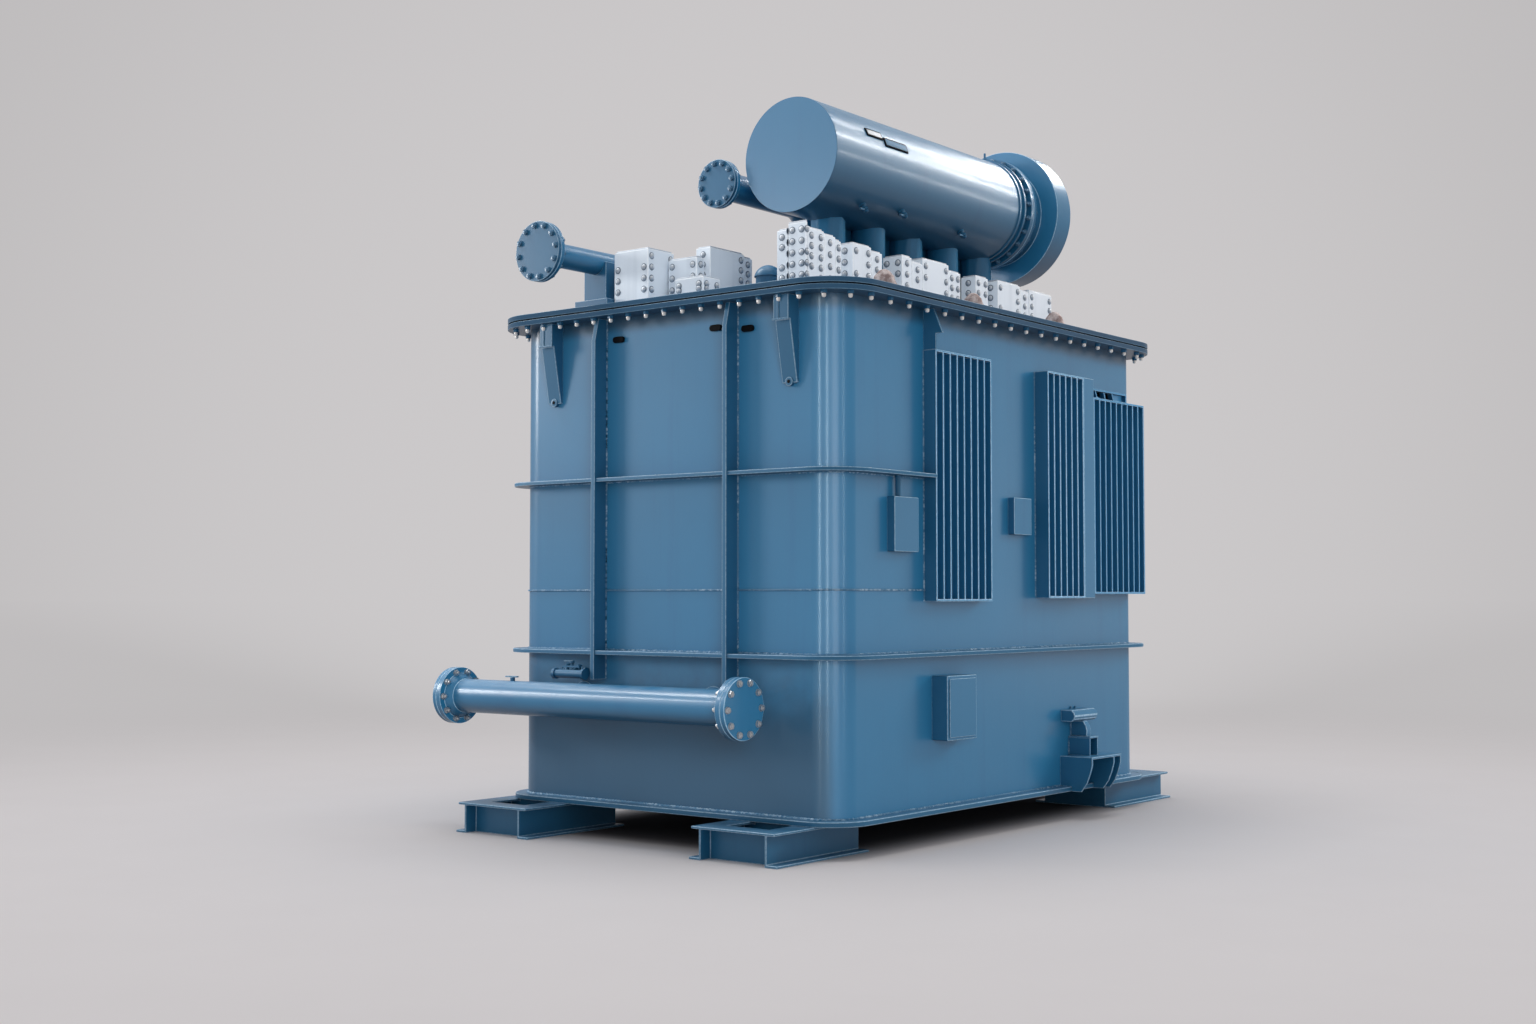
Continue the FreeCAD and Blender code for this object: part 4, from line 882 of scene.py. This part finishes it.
fit("conservator_ring_bolts", ring_bolts, bolt_enamel, "blue_enamel")


def on_drum(angle, y, stand=0.0):
    """A point on the drum, at an angle above its right-hand side."""
    out, rise = swung(angle, DRUM_RADIUS + stand)
    return Vector((DRUM_X + out, y, DRUM_Z + rise))


def drum_plate(shape, y_low, y_high, low, high, inner, outer):
    """A flat plate laid on the drum between two angles in degrees."""
    part = bmesh.new()
    middle = math.radians((low + high) / 2)
    half = DRUM_RADIUS * math.tan(math.radians((high - low) / 2))
    bmesh.ops.create_cube(part, size=1.0)
    bmesh.ops.scale(part, vec=(outer - inner, y_high - y_low, 2 * half), verts=part.verts)
    ease(part, 0.0015)
    out = DRUM_RADIUS + (inner + outer) / 2
    bmesh.ops.translate(part, vec=(out, (y_low + y_high) / 2, 0), verts=part.verts)
    swing = Matrix.Translation((DRUM_X, 0, DRUM_Z)) @ Matrix.Rotation(-middle, 4, "Y")
    bmesh.ops.transform(part, matrix=swing, verts=part.verts)
    add_to(shape, part)


LEVEL_PLATES = ((-0.720, -0.585, 22.5, 31.5), (-0.575, -0.375, 16.5, 26.5))
frames, faces = bmesh.new(), (bmesh.new(), bmesh.new())
for number, (y_low, y_high, low, high) in enumerate(LEVEL_PLATES):
    drum_plate(frames, y_low, y_high, low, high, -0.003, 0.005)
    face = (y_low + 0.009, y_high - 0.009, low + 1.6, high - 1.6)
    drum_plate(faces[number], *face, 0.0, 0.007)
fit("level_plate_frames", frames, black_rubber, "black_rubber")
fit("level_plate_bright", faces[0], zinc_plate, "blue_enamel")
blue("level_plate_blue", faces[1])
taps = bmesh.new()
tap_nut = hex_nut(0.030, 0.014, 0.010, 0.010)
tap_body = [(0, 0), (0.020, 0), (0.020, 0.008), (0.011, 0.012), (0.011, 0.040), (0, 0.040)]
for y, angle in ((-0.650, -50.0), (-0.330, -45.0), (0.250, -48.0)):
    lean = math.radians(angle)
    way = on_drum(lean, y) - Vector((DRUM_X, y, DRUM_Z))
    turned(taps, tap_body, on_drum(lean, y, -0.002), way, 24)
    set_out(taps, tap_nut, [facing(on_drum(lean, y, 0.024), way)])
    end = on_drum(lean, y, 0.032)
    plate(taps, end + Vector((-0.006, -0.045, -0.004)), end + Vector((0.006, 0.012, 0.004)), 0.0015)
air_screw = [(0, 0), (0.014, 0), (0.014, 0.010), (0.006, 0.014), (0.006, 0.040), (0, 0.044)]
ring_top = (DRUM_X, ring_start + 0.013, DRUM_Z + ring_radius - 0.002)
turned(taps, air_screw, ring_top, UPWARD, 20)
blue("conservator_taps", taps)
web = bmesh.new()
drum_foot = DRUM_Z - DRUM_RADIUS + 0.012
plate(web, (DRUM_X - 0.075, -0.690, lid_top), (DRUM_X - 0.063, 0.710, drum_foot))
blue("pedestal_web", web)
drum_pedestals = blue_steel("drum_pedestals", "conservator_pedestals", 0.0)

# ------------------------------------------------------- pipes on the cover
# A vent pipe and an oil pipe rise from the cover and bend to the front, where
# each ends in a flange with a bolted blind.  They are drawn tube, painted.


def bent_tube(shape, radius, mouth, bend_y, bend_radius, foot_z):
    """A tube running back from its mouth and bending down to the cover."""
    part = bmesh.new()
    x, y, z = mouth
    ring = bmesh.ops.create_circle(part, cap_ends=True, segments=64, radius=radius)["verts"]
    bmesh.ops.transform(part, matrix=facing(mouth, (0, -1, 0)), verts=ring)
    run = bmesh.ops.extrude_edge_only(part, edges=list(part.edges))["geom"]
    bmesh.ops.translate(part, vec=(0, bend_y - y, 0), verts=verts_in(run))
    bend = dict(cent=(x, bend_y, z - bend_radius), axis=(-1, 0, 0), angle=math.pi / 2, steps=24)
    swept = bmesh.ops.spin(part, geom=edges_in(run), use_merge=False, **bend)["geom_last"]
    run = bmesh.ops.extrude_edge_only(part, edges=edges_in(swept))["geom"]
    bmesh.ops.translate(part, vec=(0, 0, foot_z - (z - bend_radius)), verts=verts_in(run))
    bmesh.ops.contextual_create(part, geom=edges_in(run))
    bmesh.ops.remove_doubles(part, verts=part.verts, dist=1e-6)
    bmesh.ops.recalc_face_normals(part, faces=part.faces)
    add_to(shape, part)


pipe_bolts = bmesh.new()
pipe_bolt = hex_nut(0.025, 0.0125, 0.008, 0.003)
pipe_nut = hex_nut(0.025, 0.014, 0.008, 0.012)
PIPE_FLANGE, PIPE_BOLTS = 0.022, 12
# Across, height, radius, bolt circle, where the bend starts and its radius.
PIPES = {
    "vent": (-0.022, 3.255, 0.072, 0.102, -0.430, 0.150),
    "oil": (-0.507, 2.853, 0.060, 0.127, -0.800, 0.130),
}
pipe_tubes = []
for pipe, (x, z, radius, circle, bend_y, bend_radius) in PIPES.items():
    blind_low, blind_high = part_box(pipe + "_pipe_blind")
    rim_radius = (blind_high.z - blind_low.z) / 2
    tube = bmesh.new()
    bent_tube(tube, radius, (x, blind_high.y + 0.004, z), bend_y, bend_radius, lid_top)
    outline = [
        (0.0, 0.0),
        (rim_radius, 0.0),
        (rim_radius, PIPE_FLANGE),
        (radius + 0.014, PIPE_FLANGE),
        (radius + 0.003, PIPE_FLANGE + 0.018),
        (0.0, PIPE_FLANGE + 0.018),
    ]
    turned(tube, outline, (x, blind_high.y, z), REARWARD, 72, 0.002)
    foot = (x, bend_y + bend_radius, lid_top)
    turned(tube, disc(radius + 0.034, 0.0, 0.012), foot, UPWARD, 56, 0.002)
    pipe_tubes.append(fit(pipe + "_pipe_tube", tube, pipe_enamel, "blue_enamel", pipe + "_pipe"))
    blind = bmesh.new()
    outline = disc(rim_radius, 0.0, blind_high.y - blind_low.y - 0.0015)
    turned(blind, outline, (x, blind_low.y, z), REARWARD, 96, 0.003)
    blue(pipe + "_blind_plate", blind, pipe + "_pipe_blind")
    for master, y, way in ((pipe_bolt, blind_low.y, -1), (pipe_nut, blind_high.y + PIPE_FLANGE, 1)):
        places = bolt_circle((x, y, z), (0, way, 0), circle, PIPE_BOLTS, 0.13)
        set_out(pipe_bolts, master, places)
fit("pipe_flange_bolts", pipe_bolts, bolt_enamel, "blue_enamel")
blue_steel("oil_pipe_rest", "oil_pipe_saddle")
blue_steel("cable_gland_body", "cable_gland", 0.0)

# --------------------------------------------------------- terminal blocks
# Rows of pale connection chests stand on the cover.  They are cast and folded
# steel in blue-white enamel, closed with rows of round-headed screws.

WHITES = (
    (0.58, 0.66, 0.74, 1.0),
    (0.72, 0.80, 0.88, 1.0),
    (0.42, 0.49, 0.57, 1.0),
    (0.70, 0.72, 0.74, 1.0),
    (0.80, 0.85, 0.89, 1.0),
)
# The white enamel takes a lighter painted shade on faces turned down.
white_enamel = enamel("white_enamel_film", WHITES, gloss=0.45, coat=0.15, underside_shade=0.30)


def islands(node):
    """The box of each separate solid in a CAD node."""
    part = welded_copy(node)
    left = set(part.verts)
    boxes = []
    while left:
        group, waiting = set(), [left.pop()]
        while waiting:
            vert = waiting.pop()
            group.add(vert)
            near = {edge.other_vert(vert) for edge in vert.link_edges} & left
            left -= near
            waiting.extend(near)
        low, high = (
            Vector([pick(vert.co[axis] for vert in group) for axis in range(3)])
            for pick in (min, max)
        )
        boxes.append((low, high))
    part.free()
    return sorted(boxes, key=lambda pair: (pair[0].y, pair[0].x))


block_screws = bmesh.new()
block_lids = bmesh.new()
shade_ring_washers = bmesh.new()
screw_dome = [(0.013, 0.0), (0.013, 0.003), (0.0105, 0.0075), (0.006, 0.0095)]
screw = small_round("screw_head", [(0.0, 0.0), *screw_dome, (0.0, 0.010)], 12)
washer = small_round("screw_washer", disc(0.0175, 0.0, 0.0016), 12)
screw_dice = random.Random(23)
SCREW_PITCH, SCREW_INSET, SCREW_TOP, SCREWS_KEPT = 0.056, 0.026, 0.034, 0.9
TWO_COLUMNS_FROM = 0.105
LID_INSET, LID_PROUD = 0.008, 0.008
chests = []
for node in ("terminal_blocks_front", "terminal_blocks_side"):
    for low, high in islands(node):
        size = high - low
        for axis, side in ((1, -1), (0, 1), (1, 1), (0, -1)):
            across = 1 - axis
            rows = max(2, int((size.z - 0.02) / SCREW_PITCH))
            columns = 2 if size[across] > TWO_COLUMNS_FROM else 1
            for row in range(rows):
                for column in range(columns):
                    at = Vector(low)
                    at[axis] = high[axis] if side > 0 else low[axis]
                    inset = SCREW_INSET if columns == 2 else size[across] / 2
                    at[across] = low[across] + inset if column == 0 else high[across] - inset
                    at.z = high.z - SCREW_TOP - row * (size.z - 0.06) / rows
                    way = Vector((0, 0, 0))
                    way[axis] = side
                    if screw_dice.random() < SCREWS_KEPT:
                        set_out(block_screws, screw, [facing(at, way)])
                        set_out(shade_ring_washers, washer, [facing(at, way)])
        inset = min(LID_INSET, size.x / 6, size.y / 6)
        plate(
            block_lids,
            (low.x + inset, low.y + inset, high.z - 0.002),
            (high.x - inset, high.y - inset, high.z + LID_PROUD),
        )
    chest = steel_of(node, 0.004)
    chests.append(fit(node + "_chests", chest, white_enamel, "white_enamel", node))
fit("chest_roof_plates", block_lids, white_enamel, "white_enamel")
pale_steel = clouded(
    "pale_painted_steel", 0.2, 70.0, (0.52, 0.58, 0.64, 1.0), (0.80, 0.85, 0.89, 1.0), 0.34, 0.2
)
fit("chest_screws", block_screws, pale_steel, "white_enamel")
# The washers' dark tone is painted shade round each screw head.
shade_washer_steel = clouded(
    "washer_steel_painted_shade", 0.2, 70.0, (0.13, 0.18, 0.24, 1.0), (0.26, 0.32, 0.39, 1.0), 0.34, 0.2
)
fit("shade_ring_washers", shade_ring_washers, shade_washer_steel, "white_enamel")


def primer():
    """Rust-red primer, mottled and dry."""
    material, paint, at = new_finish("rust_primer")
    cloud = grain(paint, at, 26.0, 5.0, 0.7)
    dry = between(paint, cloud, 0.35, 0.65)
    tone = blended(paint, dry, (0.24, 0.17, 0.16, 1.0), (0.62, 0.55, 0.54, 1.0))
    bump = paint.node("Bump", {"Strength": 0.4, "Distance": 0.003, "Height": cloud})
    sockets = {"Base Color": tone, "Roughness": 0.55 + 0.3 * cloud, "Normal": bump}
    return finished(material, paint, sockets)


domes = bmesh.new()
DOME_X, DOME_FOOT = 0.900, 0.010
for y, radius, height in ((-0.903, 0.068, 0.130), (-0.105, 0.062, 0.120), (0.728, 0.064, 0.124)):
    outline = [(0.0, 0.0), (radius, 0.0), (radius, DOME_FOOT)]
    for step in range(1, 9):
        out, rise = swung(math.radians(step * 90 / 8), 1.0)
        flute = 0.93 if step % 2 else 1.0
        outline.append((radius * out * flute, DOME_FOOT + (height - DOME_FOOT) * rise))
    outline[-1] = (0.0, height)
    turned(domes, outline, (DOME_X, y, lid_top), UPWARD, 32)
fit("primed_domes", domes, primer(), "white_enamel")

# Every weld bead laid above stands as one piece.
fit("weld_beads", welds, weld_enamel, "blue_enamel")

# ----------------------------------------------------- studio and camera
# A pale floor runs out all round into a plain grey surround.  Broad soft lamps
# stand to the left, behind on the right and overhead, and narrow strip lamps
# draw the streaks on the rolled steel.

ROOM_GREY = (0.520, 0.505, 0.510, 1.0)
GLOW_GREY = (0.600, 0.583, 0.590, 1.0)
world = bpy.data.worlds.new("studio_air")
world.use_nodes = True
world.node_tree.nodes.clear()
air = Paint(world.node_tree)


def room_tone(paint, way, rise):
    """The grey of the room in a direction, paler behind the transformer."""
    behind = (-0.619, 0.784, rise)
    middle = paint.node("VectorMath", {0: way, 1: behind}, output="Value", operation="DOT_PRODUCT")
    return blended(paint, between(paint, middle, 0.88, 0.995), ROOM_GREY, GLOW_GREY)


air_tone = room_tone(air, air.node("TexCoord", output="Generated"), 0.060)
air.node("OutputWorld", {"Surface": air.node("Background", {"Color": air_tone, "Strength": 1.0})})
bpy.context.scene.world = world


def floor_finish():
    """Pale matt floor with a painted shadow under the tank, fading into the grey of the room."""
    material, paint, at = new_finish("studio_floor")
    reach = paint.node("VectorMath", {0: at}, output="Value", operation="LENGTH")
    far = between(paint, reach, 3.6, 13.0)
    cloud = grain(paint, at, 1.6)
    tone = blended(paint, cloud, (0.84, 0.82, 0.825, 1.0), (0.87, 0.85, 0.855, 1.0))
    x = axis_of(paint, at, "X")
    y = axis_of(paint, at, "Y")
    # Painted shadow: the floor turns near black under the tank's footprint.
    painted_shadow_under_tank = between(paint, x * x, 1.10, 0.50) * between(paint, y * y, 3.0, 1.8)
    tone = blended(paint, 0.9 * painted_shadow_under_tank, tone, (0.06, 0.06, 0.07, 1.0))
    sockets = {"Base Color": tone, "Roughness": 0.9, "Specular IOR Level": 0.0}
    near = paint.node("BsdfPrincipled", sockets)
    away = paint.node("VectorMath", {0: at}, operation="NORMALIZE")
    glow = paint.node("Emission", {"Color": room_tone(paint, away, 0.0), "Strength": 1.0})
    paint.node("OutputMaterial", {"Surface": paint.node("MixShader", {0: far, 1: near, 2: glow})})
    return material


ground = bmesh.new()
bmesh.ops.create_circle(ground, cap_ends=True, segments=96, radius=400.0)
ground_mesh = mesh_of("studio_floor", ground)
ground_mesh.materials.append(floor_finish())
studio_floor = bpy.data.objects.new("studio_floor", ground_mesh)
bpy.context.scene.collection.objects.link(studio_floor)

lid_pieces = [rim_plate, cover_lid]
header_pieces = [header_blinds, header_tube]
# The pieces that a lamp reaches, or after "all_but" the ones that it leaves out.
GROUPS = {
    "all_but_floor": [studio_floor],
    "all_but_lid": [studio_floor, *lid_pieces],
    "all_but_low_and_lid": [studio_floor, floor_plate, *lid_pieces, *skids],
    "broad_faces": [tank_wall, *header_pieces, *pipe_tubes, *chests],
    "right_faces": [tank_wall, *header_pieces, *side_pieces],
    "side": side_pieces,
    "fins": fins,
    "wall": [tank_wall],
    "header": header_pieces,
    "round_tops": [conservator_drum, conservator_pot, drum_pedestals, *pipe_tubes],
    "streaked": [conservator_drum, *pipe_tubes],
    "columns": [drum_pedestals],
    "pot": [conservator_pot],
}
groups = {}
for name, pieces in GROUPS.items():
    groups[name] = bpy.data.collections.new(name)
    for piece in pieces:
        groups[name].objects.link(piece)
    for entry in groups[name].collection_objects:
        entry.light_linking.link_state = "EXCLUDE" if name.startswith("all_but") else "INCLUDE"

WARM = (1.0, 0.87, 0.78)
COOL = (0.72, 0.90, 1.0)
AIM = Vector((0, 0, 1.8))


def lamp(name, towards, away, width, height, power, only=None, seen_in="both",
         along=None, tint=(1, 1, 1), blockers=None):
    """A soft lamp aimed at the tank, for all pieces or only for some.

    It stands in a direction, a distance away.  Its width lies along a stated way."""
    data = bpy.data.lights.new(name, "AREA")
    data.shape = "RECTANGLE"
    data.size, data.size_y = width, height
    data.energy = power
    data.color = tint
    made = bpy.data.objects.new(name, data)
    back = Vector(towards).normalized()
    side = Vector(along) if along else Vector(UPWARD).cross(back)
    side = (side - side.dot(back) * back).normalized()
    turn = Matrix((side, back.cross(side), back)).transposed().to_4x4()
    made.matrix_world = Matrix.Translation(AIM + back * away) @ turn
    made.visible_camera = False
    made.visible_glossy = seen_in != "diffuse"
    made.visible_diffuse = seen_in != "gloss"
    made.light_linking.blocker_collection = groups.get(blockers)
    made.light_linking.receiver_collection = groups.get(only)
    bpy.context.scene.collection.objects.link(made)


lamp("left_key", (-0.793, -0.574, 0.205), 13.0, 2.6, 2.6, 520, "all_but_low_and_lid")
lamp("rear_right_key", (0.470, 0.814, 0.342), 13.0, 3.4, 3.4, 950, "all_but_lid", "diffuse", tint=WARM)
lamp("overhead_left", (-0.58, -0.30, 0.76), 10.0, 2.0, 4.0, 420, "all_but_floor")
lamp("overhead_rear", (0.09, 0.785, 0.61), 10.0, 5.0, 0.7, 220, "all_but_floor")
lamp("front_fill", (0.72, -0.69, 0.10), 13.0, 5.0, 5.0, 620, "broad_faces", "diffuse")
lamp("right_sheen", (0.595, 0.804, 0.0), 13.0, 5.0, 6.0, 70, "right_faces", "gloss")
lamp("disc_fill", (-0.45, -0.88, 0.10), 13.0, 5.0, 5.0, 370, "round_tops")
lamp("corner_sheen", (0.80, -0.60, 0.0), 13.0, 4.0, 6.0, 330, "wall", "gloss")
lamp("corner_strip_a", (0.061, -0.998, 0.0), 13.0, 0.16, 6.0, 440, "wall", "gloss", tint=COOL)
lamp("corner_strip_b", (0.462, -0.887, 0.0), 13.0, 0.16, 6.0, 400, "wall", "gloss", tint=COOL)
lamp("corner_strip_c", (0.983, -0.182, 0.0), 13.0, 0.12, 6.0, 170, "wall", "gloss", tint=COOL)
lamp("drum_strip_high", (0.16, 0.73, 0.66), 10.0, 6.0, 0.14, 150, "streaked", "gloss", REARWARD)
lamp("drum_strip_middle", (0.41, 0.74, 0.53), 10.0, 6.0, 0.22, 260, "streaked", "gloss", REARWARD)
lamp("drum_strip_low", (0.59, 0.76, 0.26), 10.0, 6.0, 0.12, 90, "streaked", "gloss", REARWARD)
lamp("header_overhead", (-0.60, 0.15, 0.80), 10.0, 4.0, 2.5, 420, "header", along=RIGHTWARD)
lamp("blind_fill", (0.96, -0.20, 0.10), 12.0, 3.0, 3.0, 120, "header", "diffuse", tint=WARM)
lamp("blind_sheen", (0.63, 0.777, 0.02), 12.0, 5.0, 5.0, 130, "header", "gloss", blockers="header")
lamp("header_strip", (-0.60, -0.71, 0.36), 10.0, 6.0, 0.30, 260, "header", "gloss", RIGHTWARD)
lamp("fin_fill", (0.95, 0.30, 0.05), 12.0, 3.0, 3.0, 520, "fins")
lamp("pot_fill", (0.45, -0.89, 0.05), 13.0, 4.0, 4.0, 330, "pot")
lamp("column_strip", (0.80, -0.60, 0.0), 13.0, 0.5, 5.0, 120, "columns")
lamp("side_fill", (0.97, 0.22, 0.10), 12.0, 3.0, 3.0, 260, "side")
lamp("ceiling", (0.0, -0.1, 1.0), 9.0, 7.0, 7.0, 330)

camera_data = bpy.data.cameras.new("studio_camera")
camera_data.sensor_width = 36.0
camera_data.lens = 42.91
camera_data.clip_end = 1000.0
camera = bpy.data.objects.new("studio_camera", camera_data)
camera.location = (5.849, -8.056, 1.180)
camera.rotation_euler = (math.radians(90 + 2.618), 0.0, math.radians(38.331))
bpy.context.scene.collection.objects.link(camera)
bpy.context.scene.camera = camera
bpy.context.scene.view_settings.view_transform = "Standard"
bpy.context.scene.view_settings.look = "None"
